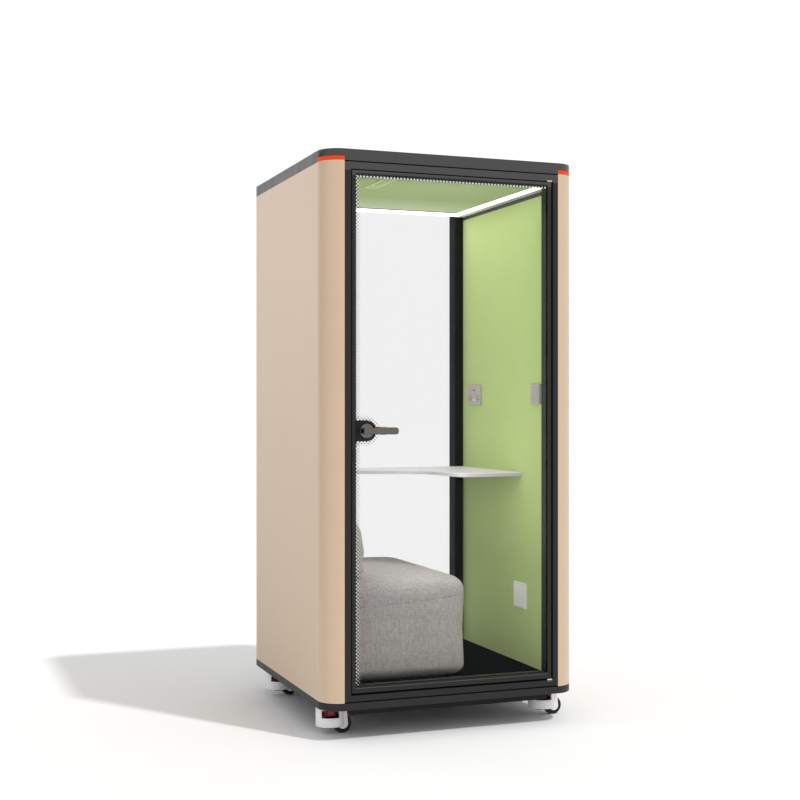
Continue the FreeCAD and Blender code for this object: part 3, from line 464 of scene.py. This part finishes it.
def swept_ring(name, loop, normal, profile, look, body):
    """A profile of outward and upward millimetres, carried round a closed flat loop with mitred corners."""
    loop = [Vector(point) / 1000 for point in loop]
    up = Vector(normal).normalized()
    count = len(loop)
    vertices = []
    for index, point in enumerate(loop):
        before = (point - loop[index - 1]).normalized()
        after = (loop[(index + 1) % count] - point).normalized()
        out = before.cross(up) + after.cross(up)
        out = out / max(0.2, 1 + before.cross(up).dot(after.cross(up)))
        for outward, upward in profile:
            vertices.append(point + out * outward / 1000 + up * upward / 1000)
    return mesh_object(name, vertices, sweep_faces(count, len(profile)), look, body, smooth=False)


def boxes(name, limits, look, body, edge=0.2):
    """One piece made of bevelled bars, each given by its lowest and highest corners in millimetres."""
    vertices, faces = [], []
    sides = ((0, 2, 3, 1), (4, 5, 7, 6), (0, 1, 5, 4), (2, 6, 7, 3), (0, 4, 6, 2), (1, 3, 7, 5))
    for low, high in limits:
        start = len(vertices)
        for corner in range(8):
            picks = [(high if corner >> axis & 1 else low)[axis] for axis in range(3)]
            vertices.append(millimetres(*picks))
        faces += [tuple(start + index for index in side) for side in sides]
    piece = mesh_object(name, vertices, faces, look, body, smooth=False)
    soften(piece, edge)
    return piece


def upright_loop(x, z_low, z_high, y):
    """A rectangle in a plane across Y, counted so that its outward side is outside for a normal along +Y."""
    return [(-x, y, z_low), (-x, y, z_high), (x, y, z_high), (x, y, z_low)]


def level_loop(half_x, half_y, z, radius, steps):
    """A rectangle level at z with round corners, seen from above against the clock."""
    points = []
    far_x, far_y = half_x - radius, half_y - radius
    for quarter, (x, y) in enumerate(((far_x, -far_y), (far_x, far_y), (-far_x, far_y), (-far_x, -far_y))):
        for step in range(steps + 1):
            angle = math.radians(90 * (quarter - 1 + step / steps))
            points.append((x + radius * math.cos(angle), y + radius * math.sin(angle), z))
    return points


def upright_prism(name, ring, z_low, z_high, look, body):
    """A flat outline of (x, y) millimetres carried from one height to another."""
    vertices = [millimetres(x, y, z) for z in (z_low, z_high) for x, y in ring]
    count = len(ring)
    faces = [tuple(range(count)), tuple(range(count, 2 * count))]
    faces += [(i, (i + 1) % count, count + (i + 1) % count, count + i) for i in range(count)]
    return mesh_object(name, vertices, faces, look, body, smooth=False)


def turned(name, profile, centre, axis, look, body, segments):
    """A solid of revolution from radius and height pairs in millimetres along an axis."""
    axis = Vector(axis).normalized()
    side = axis.orthogonal().normalized()
    other = axis.cross(side)
    centre = Vector(centre) / 1000
    vertices = []
    for radius, height in profile:
        for step in range(segments):
            angle = 2 * math.pi * step / segments
            ray = side * math.cos(angle) + other * math.sin(angle)
            vertices.append(centre + ray * radius / 1000 + axis * height / 1000)
    faces = []
    for ring in range(len(profile) - 1):
        for step in range(segments):
            following = (step + 1) % segments
            low, high = ring * segments, (ring + 1) * segments
            faces.append((low + step, low + following, high + following, high + step))
    faces.append(tuple(range(segments)))
    faces.append(tuple(range((len(profile) - 1) * segments, len(profile) * segments)))
    piece = mesh_object(name, vertices, faces, look, body)
    soften(piece, 0.25, angle=35)
    return piece


def dots(name, places, y, look, body, sides=8):
    """Printed dots on glass: thin discs at (x, z, radius) millimetres, on the front of a plane across Y."""
    vertices, faces = [], []
    for x, z, radius in places:
        start = len(vertices)
        for depth in (0.0, 0.05):
            for step in range(sides):
                angle = 2 * math.pi * (step + 0.5) / sides
                vertices.append(millimetres(x + radius * math.cos(angle), y - depth, z + radius * math.sin(angle)))
        faces.append(tuple(range(start, start + sides)))
        faces.append(tuple(range(start + sides, start + 2 * sides)))
        for step in range(sides):
            following = (step + 1) % sides
            faces.append((start + step, start + following, start + sides + following, start + sides + step))
    return mesh_object(name, vertices, faces, look, body, smooth=False)


def tube(name, path, thick, look, body):
    """A round wire through points in millimetres."""
    curve = bpy.data.curves.new(name, "CURVE")
    curve.dimensions = "3D"
    curve.bevel_depth = thick / 2000
    curve.bevel_resolution = 2
    curve.use_fill_caps = True
    spline = curve.splines.new("POLY")
    spline.points.add(len(path) - 1)
    for point, place in zip(spline.points, path):
        point.co = (*millimetres(*place), 1.0)
    wire = bpy.data.objects.new(name, curve)
    scene.collection.objects.link(wire)
    curve.materials.append(finish[look])
    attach(wire, body)


# Sizes in millimetres that several pieces share, most of them read from the frame

half_width, half_depth = 545.0, 550.0
inner_depth, felt_thickness = 475.0, 12.0
roof_low = span("roof_cap")[0].z
tray_high = span("base_tray")[1].z
leaf_low, leaf_high = span("door_leaf_frame")
glass_low, glass_high = span("door_glass")
seam_x = span("corner_post_front_right")[0].x
corner_radius = half_width - seam_x
glass_cover = 6.5
view_x = glass_high.x - glass_cover
view_low, view_high = glass_low.z + glass_cover, glass_high.z - glass_cover
door_gap = 4.0
opening_x = leaf_high.x + door_gap
opening_low, opening_high = leaf_low.z - door_gap, leaf_high.z + door_gap
ends = (("front", -1), ("rear", 1))


# Seals and shadow lines

def outer_seams():
    """Strips of painted shadow in the seams under the roof and over the tray, and strips of painted highlight beside
    the corner posts.
    """
    proud, height, depth = 0.12, 4.5, 3.0
    # Near-black strips of painted shadow in the seams under the roof and over the tray.
    limits = []
    for y_low, y_high in ((-half_depth - proud, -half_depth + depth), (half_depth - depth, half_depth + proud)):
        limits.append(((-seam_x, y_low, roof_low - height), (seam_x, y_high, roof_low)))
        limits.append(((-seam_x, y_low, tray_high), (seam_x, y_high, tray_high + height)))
    boxes("seam_painted_shadows", limits, "shadow_gap", "cabin", 0.1)
    # A ring of painted shadow round the top of the tray.
    loop = level_loop(half_width, half_depth, tray_high, corner_radius, 12)
    band = [(-1.5, -0.6), (proud, -0.6), (proud, 0.6), (-1.5, 0.6)]
    swept_ring("tray_painted_shadow", loop, (0, 0, 1), band, "shadow_gap", "cabin")
    # Light strips of painted highlight beside the corner posts.
    side_y = half_depth - corner_radius
    limits = []
    for side in (-1, 1):
        for y in (-side_y, side_y):
            edges = sorted((side * (half_width - 3.0), side * (half_width + 0.05)))
            limits.append(((edges[0], y - 0.6, tray_high), (edges[1], y + 0.6, roof_low)))
    boxes("panel_seam_highlights", limits, "post_seam_highlight", "cabin", 0.1)


def door_gap_shadows():
    """Strips of painted shadow on both sides of the gap round the door, clear of the pivots, and on the frame's face
    along the sill and beside the right jamb.
    """
    skin, deep_front, deep_back = 0.2, -half_depth + 0.4, leaf_high.y - 1.0
    pivot_height = 12
    pivot_x = opening_x - 24
    # Painted shadow on the jamb's faces inside the gap.
    limits = [
        ((-opening_x, deep_front, opening_low), (-opening_x + skin, deep_back, opening_high)),
        ((opening_x - skin, deep_front, opening_low + pivot_height),
         (opening_x, deep_back, opening_high - pivot_height)),
        ((-opening_x, deep_front, opening_high - skin), (pivot_x, deep_back, opening_high)),
        ((-opening_x, deep_front, opening_low), (pivot_x, deep_back, opening_low + skin)),
    ]
    boxes("jamb_painted_shadow", limits, "shadow_gap", "cabin", 0.02)
    # Painted shadow on the leaf's edges.
    front, back = leaf_low.y + 0.6, leaf_low.y + 14.0
    clear_x = leaf_high.x - 26.0
    limits = [
        ((leaf_low.x - skin, front, leaf_low.z), (leaf_low.x, back, leaf_high.z)),
        ((leaf_low.x, front, leaf_high.z), (clear_x, back, leaf_high.z + skin)),
        ((leaf_low.x, front, leaf_low.z - skin), (clear_x, back, leaf_low.z)),
    ]
    boxes("leaf_painted_shadow", limits, "shadow_gap", "door", 0.02)
    # Painted shadow on the frame's face along the sill and beside the right jamb.
    seal = 3.6
    face = -half_depth - 0.12, -half_depth + 0.6
    limits = [
        ((opening_x, face[0], opening_low - seal), (opening_x + seal, face[1], opening_high)),
        ((-opening_x, face[0], opening_low - seal), (opening_x, face[1], opening_low)),
    ]
    boxes("sill_painted_shadow", limits, "shadow_gap", "cabin", 0.05)


def glazing():
    """Gaskets round both glasses, strips of painted shade on the door's rails, and a bright strip on the bottom one
    that is a painted highlight of its top edge.
    """
    lip = [(-0.8, -0.05), (0.4, -0.05), (0.4, 1.2), (-0.3, 1.2), (-0.8, 0.6)]
    for name, y, normal in (("front", glass_low.y, (0, -1, 0)), ("back", glass_high.y, (0, 1, 0))):
        loop = upright_loop(view_x, view_low, view_high, y)
        if normal[1] < 0:
            loop = loop[::-1]
        swept_ring("door_gasket_" + name, loop, normal, lip, "gasket", "door")
    rear_inner = span("rear_glass")[0].y
    loop = upright_loop(opening_x, opening_low, opening_high, rear_inner)[::-1]
    swept_ring("rear_gasket", loop, (0, -1, 0), lip, "gasket", "cabin")
    front, highlight_top = leaf_low.y, view_low - 6.5
    # Painted shade on the top and bottom rails next to the glass.
    shades = [
        ((-view_x, front - 0.12, view_high), (view_x, front + 0.4, view_high + 7.5)),
        ((-view_x, front - 0.12, highlight_top), (view_x, front + 0.4, view_low)),
    ]
    boxes("rail_shades", shades, "shaded_rail", "door", 0.05)
    # Painted highlight: a bright strip along the bottom rail's top edge.
    highlight = (-view_x, front - 0.3, view_low - 8.0), (view_x, front + 0.4, highlight_top)
    boxes("rail_edge_highlight", [highlight], "satin_edge_highlight", "door", 0.3)


# Printed dots on the glass

dot_pitch = 14.0


def edge_print():
    """Columns of dots that shrink away from the left stile, and a row of dots along the top rail."""
    black, white = [], []
    columns = ((3.0, 3.0), (10.0, 2.6), (17.0, 1.5))
    for row in range(int((view_high - view_low) / dot_pitch)):
        z = view_low + dot_pitch * (row + 0.5)
        for column, (inset, radius) in enumerate(columns):
            shift = dot_pitch / 2 if column % 2 else 0
            black.append((-view_x + inset, z + shift, radius))
            white.append((-view_x + inset, z + dot_pitch / 2 - shift, 0.8 * radius))
    for index in range(int(2 * view_x / dot_pitch)):
        x = -view_x + dot_pitch * (index + 0.5)
        white.append((x, view_high - 4.4, 3.8))
        black.append((x + dot_pitch / 2, view_high - 5.5, 2.2))
    lock_low, lock_high = span("lock_case")
    middle = (lock_low.z + lock_high.z) / 2
    black = [dot for dot in black if abs(dot[1] - middle) > 47]
    white = [dot for dot in white if abs(dot[1] - middle) > 50]
    dots("white_print", white, glass_low.y, "white_frit", "door")
    dots("black_print", black, glass_low.y, "black_frit", "door")


def lock_print():
    """Dots in a diagonal lattice round the lock's plate, which shrink away from its edge."""
    low, high = span("lock_case")
    radius = (high.z - low.z) / 2
    axis_x, middle = high.x - radius, (low.z + high.z) / 2
    places = []
    step = dot_pitch / 2
    for column in range(30):
        for row in range(-14, 15):
            x, z = -view_x + 3.0 + step * column, middle + step * row
            reach = math.hypot(max(0.0, x - axis_x), z - middle) - radius
            if (column + row) % 2 == 0 and -1.5 < reach < 20.0:
                places.append((x, z, 3.6 - 0.12 * max(0.0, reach)))
    dots("lock_print", places, glass_low.y, "black_frit", "door", sides=10)


# Lock, handles and pivots

def lock_details():
    """Painted shadow beside the handle's neck, a rim round the rose, and two screws on each face of the lock."""
    low, high = span("lock_case")
    radius = (high.z - low.z) / 2
    x, z = high.x - radius, (low.z + high.z) / 2
    rose = span("lock_roses")[0]
    # Painted shadow: a near-black box on the rose where the handle's tail shades it.
    neck_shadow = (rose.x + 0.6, rose.y - 0.6, z - 8.5), (rose.x + 12.0, rose.y + 0.5, z + 8.5)
    boxes("handle_painted_shadow", [neck_shadow], "shadow_gap", "door", 0.2)
    lips = [(26.2, 0.0), (26.8, -0.5), (27.45, -0.4), (27.7, 0.0), (27.7, 1.2)]
    turned("rose_rim", lips, (x, rose.y, z), (0, 1, 0), "rose_steel", "door", 64)
    head = [(2.6, 0.0), (2.6, 0.35), (2.0, 0.6), (0.9, 0.6), (0.9, 0.2)]
    for name, y, side in (("outer", low.y, -1), ("inner", high.y, 1)):
        for index, screw_z in enumerate((z + 31, z - 31)):
            centre = (x - 32, y, screw_z)
            turned("lock_screw_%s_%d" % (name, index), head, centre, (0, side, 0), "black_lock", "door", 20)


def lever_highlight():
    """A painted highlight: a bright wire round the front edge of the outer handle."""
    low, high = span("lever_outer")
    radius, inset, thick = 12.0, 0.5, 1.1
    right, reach = high.x - radius, radius - inset
    path = [(right - 62.0, high.z - inset)]
    for step in range(9):
        angle = math.radians(90 - 22.5 * step)
        centre_z = high.z - radius if step < 5 else low.z + radius
        path.append((right + reach * math.cos(angle), centre_z + reach * math.sin(angle)))
        if step == 4:
            path.append((right + reach, low.z + radius))
    path.append((right - 40.0, low.z + inset))
    tube("lever_highlight", [(x, low.y + inset, z) for x, z in path], thick, "bright_steel_and_highlight", "handle")


def pivot_plates():
    """Thin bright cover plates of the two pivots, let into the frame's face."""
    low, high = span("pivot_blocks")
    thin, front, back = 3.4, -half_depth - 0.15, -half_depth + 1.0
    limits = [
        ((low.x, front, opening_high - 0.5), (high.x, back, opening_high - 0.5 + thin)),
        ((low.x, front, opening_low + 0.5 - thin), (high.x, back, opening_low + 0.5)),
    ]
    boxes("pivot_plates", limits, "bright_steel_and_highlight", "cabin", 0.3)


# Ceiling

def light_trim():
    """A border of the ceiling, a dark line where it meets the light strips, and a grey cover along the walls."""
    low, high = span("light_diffuser")
    front, z = low.y + 1, low.z
    side_width, rear_width, border, cover = 98.0, 120.0, 16.0, 35.0
    line, rear_line = 2.6, 7.0
    wall = high.x - felt_thickness
    inner = high.x - felt_thickness - side_width
    edge = inner + border
    rear = inner_depth - rear_width
    limits = [
        ((-edge, front, z - 0.5), (-edge + line, rear, z + 0.5)),
        ((edge - line, front, z - 0.5), (edge, rear, z + 0.5)),
        ((-edge + line, rear - rear_line, z - 2.6), (edge - line, rear, z + 0.5)),
    ]
    boxes("light_trim", limits, "trim_grey", "cabin", 0.15)
    limits = [
        ((-edge + line, front, z - 0.4), (-inner + 1, rear - rear_line, z + 0.5)),
        ((inner - 1, front, z - 0.4), (edge - line, rear - rear_line, z + 0.5)),
    ]
    boxes("ceiling_border", limits, "ceiling_felt", "cabin", 0.1)
    # The covers' look is painted lighter towards the rear.
    limits = [
        ((-wall + 0.1, front, z - 1.2), (-wall + cover, high.y - 1, z)),
        ((wall - cover, front, z - 1.2), (wall - 0.1, high.y - 1, z)),
    ]
    boxes("light_cover", limits, "cove_grey", "cabin", 0.3)


def vent_cover():
    """A pale frame with a cross bar over a fine mesh."""
    low, high = span("ceiling_vent")
    z, rim, half_bar = low.z, 8.0, 6.0
    face, split = z - 1.2, high.y - 62.0
    limits = [
        ((low.x, low.y, face), (low.x + rim, high.y, z)),
        ((high.x - rim, low.y, face), (high.x, high.y, z)),
        ((low.x + rim, low.y, face), (high.x - rim, low.y + rim, z)),
        ((low.x + rim, high.y - 1.5 * rim, face), (high.x - rim, high.y, z)),
        ((low.x + rim, split - half_bar, face), (high.x - rim, split + half_bar, z)),
    ]
    boxes("vent_frame", limits, "vent_green", "cabin", 0.1)
    wires = []
    pitch, wire = 4.5, 3.3
    for index in range(int((high.x - low.x) / pitch)):
        x = low.x + 3.0 + pitch * index
        wires.append(((x, low.y + 3, z - 0.6), (x + wire, high.y - 3, z + 0.2)))
    for index in range(int((high.y - low.y) / (2 * pitch))):
        y = low.y + 3.0 + 2 * pitch * index
        wires.append(((low.x + 3, y, z - 0.7), (high.x - 3, y + wire, z - 0.2)))
    boxes("vent_mesh", wires, "vent_mesh", "cabin", 0.1)


# Wall fittings

def socket_details():
    """Painted shade in the outlets' holes and in the openings of two charging ports, the ports' tongues, a round
    cover and a ring round each outlet.
    """
    low, high = span("socket_plate")
    middle_y, middle_z, face = (low.y + high.y) / 2, (low.z + high.z) / 2, low.x
    spread, drop, pin_height = 43.0, 16.0, 7
    # Painted shade: near-black boxes over the outlets' holes.
    hole_shades = []
    for side in (-1, 1):
        for across, up in ((0, 9), (-9, -4.5), (9, -4.5)):
            y, z = middle_y + side * spread + across, middle_z - drop + up
            hole_shades.append(((face - 0.15, y - 2.6, z - pin_height / 2 - 1.4),
                             (face + 2, y + 2.6, z + pin_height / 2 + 1.4)))
    boxes("socket_hole_shades", hole_shades, "hole_painted_shade", "cabin", 0.2)
    # Painted shade in the ports' openings, with their grey tongues in front.
    ports, tongues = [], []
    for side in (-1, 1):
        y, z = middle_y + side * 9.0, middle_z + 22.0
        ports.append(((face - 0.15, y - 6.4, z - 2.5), (face + 2, y + 6.4, z + 2.5)))
        tongues.append(((face - 0.3, y - 4.6, z - 0.2), (face + 1, y + 4.6, z + 1.3)))
    boxes("socket_ports", ports, "hole_painted_shade", "cabin", 0.2)
    boxes("socket_tongues", tongues, "port_grey", "cabin", 0.1)
    profile = [(5.2, 0.0), (5.2, 0.4), (4.4, 0.9), (0.4, 1.0)]
    turned("socket_cap", profile, (face, middle_y, middle_z - 24.0), (-1, 0, 0), "white_plastic", "cabin", 32)
    ring = [(19.6, 0.0), (19.6, 0.35), (18.8, 0.35), (18.8, 0.0)]
    for name, side in ends:
        centre = (face, middle_y + side * spread, middle_z - drop)
        wall_ring("socket_ring_" + name, ring, centre, "warm_grey_plastic")


def wall_ring(name, profile, centre, look):
    """A round bead standing on a face of the right wall."""
    vertices, steps = [], 48
    for step in range(steps):
        angle = 2 * math.pi * step / steps
        for radius, height in profile:
            offset = Vector((-height, radius * math.cos(angle), radius * math.sin(angle)))
            vertices.append((Vector(centre) + offset) / 1000)
    mesh_object(name, vertices, sweep_faces(steps, len(profile)), look, "cabin", smooth=False)


def switch_details():
    """A raised rim round the rocker's well."""
    low, high = span("switch_plate")
    y, z, face = (low.y + high.y) / 2, (low.z + high.z) / 2, low.x
    half, rim, proud = 38.5, 1.1, face - 0.35
    limits = [
        ((proud, y - half, z - half), (face, y - half + rim, z + half)),
        ((proud, y + half - rim, z - half), (face, y + half, z + half)),
        ((proud, y - half, z + half - rim), (face, y + half, z + half)),
        ((proud, y - half, z - half), (face, y + half, z - half + rim)),
    ]
    boxes("switch_rim", limits, "white_plastic", "cabin", 0.15)


# Casters

caster_names = ("front_left", "front_right", "rear_left", "rear_right")
window_low, window_high = 69.9, 97.2
window_left, window_right = -44.0, 33.0
skirt_radius = 56.0


def window_details(name, side, corner, stem_x, stem_y):
    """Painted shade on the floor of the dial's window on one side of a caster, and the window's lip beside the fork.
    """
    body, steps = "caster_" + corner, 12
    outline = []
    for step in range(steps + 1):
        x = window_left + 0.3 + (window_right - window_left - 0.6) * step / steps
        outline.append((x, side * math.sqrt((skirt_radius - 2.2) ** 2 - x * x)))
    outline += [(x, side * 20.0) for x, y in reversed(outline)]
    ring = [(stem_x + x, stem_y + y) for x, y in outline]
    # Painted shade: a near-black sheet on the window's floor.
    upright_prism("dial_window_shade_%s_%s" % (name, corner), ring, window_low, window_low + 0.3, "shadow_gap", body)
    lip = []
    for radius in (skirt_radius, skirt_radius - 4.0):
        for x in (24.0, 27.0, 30.0, window_right):
            lip.append((stem_x + x, stem_y + side * math.sqrt(radius * radius - x * x)))
    ring = lip[:4] + lip[:3:-1]
    name = "window_lip_%s_%s" % (name, corner)
    soften(upright_prism(name, ring, window_low, window_high, "white_plastic", body), 0.4)


def caster_details(corner):
    """The windows' details, a pale disc of painted highlight on the dial, caps on the wheel's hub and the plate's
    four bolts.
    """
    dial_low, dial_high = span("caster_dial_" + corner)
    wheel_low, wheel_high = span("caster_wheel_" + corner)
    stem_x, stem_y = (dial_low.x + dial_high.x) / 2, (dial_low.y + dial_high.y) / 2
    axle_x, axle_z = (wheel_low.x + wheel_high.x) / 2, (wheel_low.z + wheel_high.z) / 2
    for name, side in ends:
        window_details(name, side, corner, stem_x, stem_y)
    # Painted highlight: a pale disc on top of the dial.
    highlight_disc = [(29.0, 0.0), (29.0, 0.9), (27.8, 1.6), (12.0, 1.6)]
    turned("dial_highlight_" + corner, highlight_disc, (stem_x, stem_y, dial_high.z), (0, 0, 1), "pale_pink", "dial_" + corner, 40)
    cover = [(9.5, 0.0), (9.5, 0.5), (8.4, 1.1), (3.6, 1.1), (3.6, 0.5), (0.6, 0.5)]
    for name, side in ends:
        turned("hub_cap_%s_%s" % (name, corner), cover, (axle_x, stem_y + side * 22.0, axle_z), (0, side, 0),
               "white_plastic", "caster_" + corner, 36)
    bolt_reach, plate_z = 36.0, span("caster_plates")[1].z - 5.0
    head = [(5.5, 0.0), (5.5, 2.6), (4.4, 3.4), (2.6, 3.4), (2.6, 1.4), (0.5, 1.4)]
    for along in (-1, 1):
        for across in (-1, 1):
            centre = (stem_x + along * bolt_reach, stem_y + across * bolt_reach, plate_z)
            name = "plate_bolt_%s_%d%d" % (corner, along > 0, across > 0)
            turned(name, head, centre, (0, 0, -1), "plated_steel", "cabin", 24)


# Cushions

def seam_height(x):
    """The height of the seat's front seam, which climbs a little to the right, in millimetres."""
    run = x + 171.0
    return 501.0 + 0.062 * run + 0.0001 * run ** 2


def shaped(piece):
    """The piece's mesh as its modifiers leave it."""
    graph = bpy.context.evaluated_depsgraph_get()
    return bpy.data.meshes.new_from_object(piece.evaluated_get(graph))


def blown(piece, pressure, weight, limit, frames=20):
    """Lets cloth swell under pressure for a few frames and keeps the result, up to a limit in metres."""
    start = [vertex.co.copy() for vertex in piece.data.vertices]
    cloth = piece.modifiers.new("cloth", "CLOTH")
    cloth.settings.mass = weight
    cloth.settings.use_pressure = True
    cloth.settings.uniform_pressure_force = pressure
    cloth.settings.effector_weights.gravity = 0
    cloth.collision_settings.use_collision = False
    cloth.point_cache.frame_end = frames
    for step in range(1, frames + 1):
        scene.frame_set(step)
    swollen = shaped(piece)
    piece.modifiers.clear()
    for before, vertex in zip(start, swollen.vertices):
        move = vertex.co - before
        if move.length > limit:
            vertex.co = before + move * (limit / move.length)
    piece.data = swollen
    scene.frame_set(1)


def round_foot(point, low, high, radius):
    """Draws a point near the bottom in towards the middle, along a quarter round."""
    height = point.z - low.z
    if height < radius:
        inset = 0.9 * (radius - math.sqrt(radius * radius - (radius - height) ** 2))
        for axis in (0, 1):
            middle, half = (low[axis] + high[axis]) / 2, (high[axis] - low[axis]) / 2
            point[axis] = middle + (point[axis] - middle) * (1 - inset / half)


def cushion(node, cell, seam, grow, foot):
    """Cloth blown up over a smaller copy of the solid, fitted to the solid's box and rounded off at its foot.

    The cell of its mesh, its growth to the right and the radius of its foot are in metres.
    """
    low, high = (Vector(corner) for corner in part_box(node))
    mesh = nodes[node].data.copy()
    mesh.materials.clear()
    piece = bpy.data.objects.new("cloth_" + node, mesh)
    scene.collection.objects.link(piece)
    middle, shrink = (low + high) / 2, 0.985
    for vertex in mesh.vertices:
        vertex.co = middle + (vertex.co - middle) * shrink
    remesh = piece.modifiers.new("remesh", "REMESH")
    remesh.mode = "VOXEL"
    remesh.voxel_size = cell
    smooth = piece.modifiers.new("smooth", "SMOOTH")
    smooth.factor = 0.5
    smooth.iterations = 8
    plain = shaped(piece)
    piece.modifiers.clear()
    piece.data = plain
    blown(piece, pressure=4.0, weight=10.0, limit=0.022)
    mesh = piece.data
    points = [vertex.co for vertex in mesh.vertices]
    lows = Vector([min(point[axis] for point in points) for axis in range(3)])
    highs = Vector([max(point[axis] for point in points) for axis in range(3)])
    for vertex in mesh.vertices:
        for axis in range(3):
            share = (vertex.co[axis] - lows[axis]) / (highs[axis] - lows[axis])
            vertex.co[axis] = low[axis] + share * (high[axis] - low[axis])
        round_foot(vertex.co, low, high, foot)
        vertex.co.x += grow * (vertex.co.x - low.x) / (high.x - low.x)
    mesh.materials.append(finish["grey_cloth"])
    # Painted light: faces above the seam take the second tone of the weave.
    if seam:
        mesh.materials.append(finish["seat_top_painted_light"])
        for face in mesh.polygons:
            centre = face.center * 1000
            face.material_index = 1 if centre.z > seam_height(centre.x) else 0
    for face in mesh.polygons:
        face.use_smooth = True
    finer = piece.modifiers.new("finer", "SUBSURF")
    finer.levels = finer.render_levels = 1
    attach(piece, "cabin")
    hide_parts(node)
    return piece


def seat_seam(piece):
    """A fine thread that follows the seat's front and right side at the seam's height."""
    mesh = piece.data
    tree = BVHTree.FromPolygons([v.co for v in mesh.vertices], [tuple(f.vertices) for f in mesh.polygons])
    low, high = (Vector(corner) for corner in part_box("seat_cushion"))
    middle = (low + high) / 2
    turn, steps = 0.05, 40
    route = [(low.x + turn + (high.x - low.x - 2 * turn) * step / steps, low.y) for step in range(steps + 1)]
    route += [(high.x - turn * (1 - math.sin(a)), low.y + turn * (1 - math.cos(a)))
              for a in (math.radians(15 * step) for step in range(1, 6))]
    route += [(high.x, low.y + turn + (high.y - low.y - 2 * turn) * step / steps) for step in range(steps + 1)]
    path = []
    for x, y in route:
        z = seam_height(1000 * x) / 1000
        inward = Vector((middle.x - x, middle.y - y, 0.0))
        if y == low.y:
            inward = Vector((0, 1, 0))
        elif x == high.x:
            inward = Vector((-1, 0, 0))
        inward.normalize()
        hit = tree.ray_cast(Vector((x, y, z)) - inward * 0.1, inward)[0]
        if hit:
            path.append(hit + inward * 0.0004)
    tube("seat_seam", [tuple(point * 1000) for point in path], 1.4, "seam_thread", "cabin")


outer_seams()
door_gap_shadows()
glazing()
edge_print()
lock_print()
lock_details()
lever_highlight()
pivot_plates()
light_trim()
vent_cover()
socket_details()
switch_details()
for caster in caster_names:
    caster_details(caster)
seat = cushion("seat_cushion", cell=0.009, seam=True, grow=0.006, foot=0.055)
cushion("back_cushion", cell=0.007, seam=False, grow=0.007, foot=0.03)
seat_seam(seat)


# Stage, light and camera

def stage():
    """A plain pale floor, wide enough to reach the horizon."""
    mesh = bpy.data.meshes.new("studio floor")
    bm = bmesh.new()
    bmesh.ops.create_grid(bm, x_segments=8, y_segments=8, size=60.0)
    bm.to_mesh(mesh)
    bm.free()
    floor = bpy.data.objects.new("studio_floor", mesh)
    scene.collection.objects.link(floor)
    made = Shader("studio floor", (0.86, 0.86, 0.86, 1.0), 0.9, Specular_IOR_Level=0.0)
    made.bump(made.noise(40.0, 3.0), 0.0002)
    mesh.materials.append(made.material)


def lights():
    """A white world that is a little brighter where it is seen, a sun from the front right and three soft fills."""
    world = bpy.data.worlds.new("studio")
    scene.world = world
    world.use_nodes = True
    tree = world.node_tree
    background = tree.nodes["Background"]
    background.inputs["Color"].default_value = (1.0, 1.0, 1.0, 1.0)
    path = tree.nodes.new("ShaderNodeLightPath")
    seen = path.outputs["Is Camera Ray"]
    for name in ("Is Glossy Ray", "Is Transmission Ray"):
        both = tree.nodes.new("ShaderNodeMath")
        both.operation = "MAXIMUM"
        tree.links.new(seen, both.inputs[0])
        tree.links.new(path.outputs[name], both.inputs[1])
        seen = both.outputs[0]
    strength = tree.nodes.new("ShaderNodeMapRange")
    tree.links.new(seen, strength.inputs["Value"])
    strength.inputs["To Min"].default_value = 0.8
    strength.inputs["To Max"].default_value = 1.03
    tree.links.new(strength.outputs[0], background.inputs["Strength"])

    add_light("key", "SUN", 1.5, (0, 0, 5), (-0.345, 0.5, -1.0), angle=math.radians(2.5))
    add_light("ceiling_glow", "AREA", 2.4, (0.0, 0.05, 2.17), (0, 0, -1), size=(0.8, 0.8))
    add_light("upper_fill", "AREA", 1.6, (-0.05, -0.44, 1.62), (0.1, 1, 0), size=(0.75, 1.0))
    add_light("lower_fill", "AREA", 1.7, (-0.15, -0.40, 1.0), (1, 0.8, -0.4), size=(0.4, 0.4))


def add_light(name, kind, energy, place, travel, angle=None, size=None):
    """A lamp that shines along a direction, in watts for an area and in watts per square metre for a sun."""
    data = bpy.data.lights.new(name, kind)
    data.energy = energy
    if angle:
        data.angle = angle
    if size:
        data.shape = "RECTANGLE"
        data.size, data.size_y = size
    made = bpy.data.objects.new(name, data)
    scene.collection.objects.link(made)
    made.location = place
    made.rotation_euler = Vector(travel).to_track_quat("-Z", "Y").to_euler()
    made.visible_camera = False
    made.visible_glossy = False
    made.visible_transmission = False


def side_card():
    """A dark card beside the booth that only reflections see."""
    mesh = bpy.data.meshes.new("side_card")
    x, y_near, y_far, top = -4.0, 0.3, 2.6, 4.0
    mesh.from_pydata([(x, y_near, 0.0), (x, y_far, 0.0), (x, y_far, top), (x, y_near, top)], [], [(0, 1, 2, 3)])
    card = bpy.data.objects.new("side_card", mesh)
    scene.collection.objects.link(card)
    mesh.materials.append(Shader("black card", (0.01, 0.01, 0.01, 1.0), 1.0, Specular_IOR_Level=0.0).material)
    for ray in ("camera", "diffuse", "transmission", "shadow", "volume_scatter"):
        setattr(card, "visible_" + ray, False)


def camera():
    """The photograph's view, found by fitting the booth's edges."""
    data = bpy.data.cameras.new("camera")
    data.lens = 61.06
    data.sensor_width = 36.0
    data.shift_y = 0.0061
    data.clip_end = 200.0
    view = bpy.data.objects.new("camera", data)
    scene.collection.objects.link(view)
    view.location = (-2.1081, -5.5376, 1.3071)
    view.rotation_euler = (math.radians(90), 0.0, math.radians(-20.61))
    scene.camera = view


stage()
lights()
side_card()
camera()
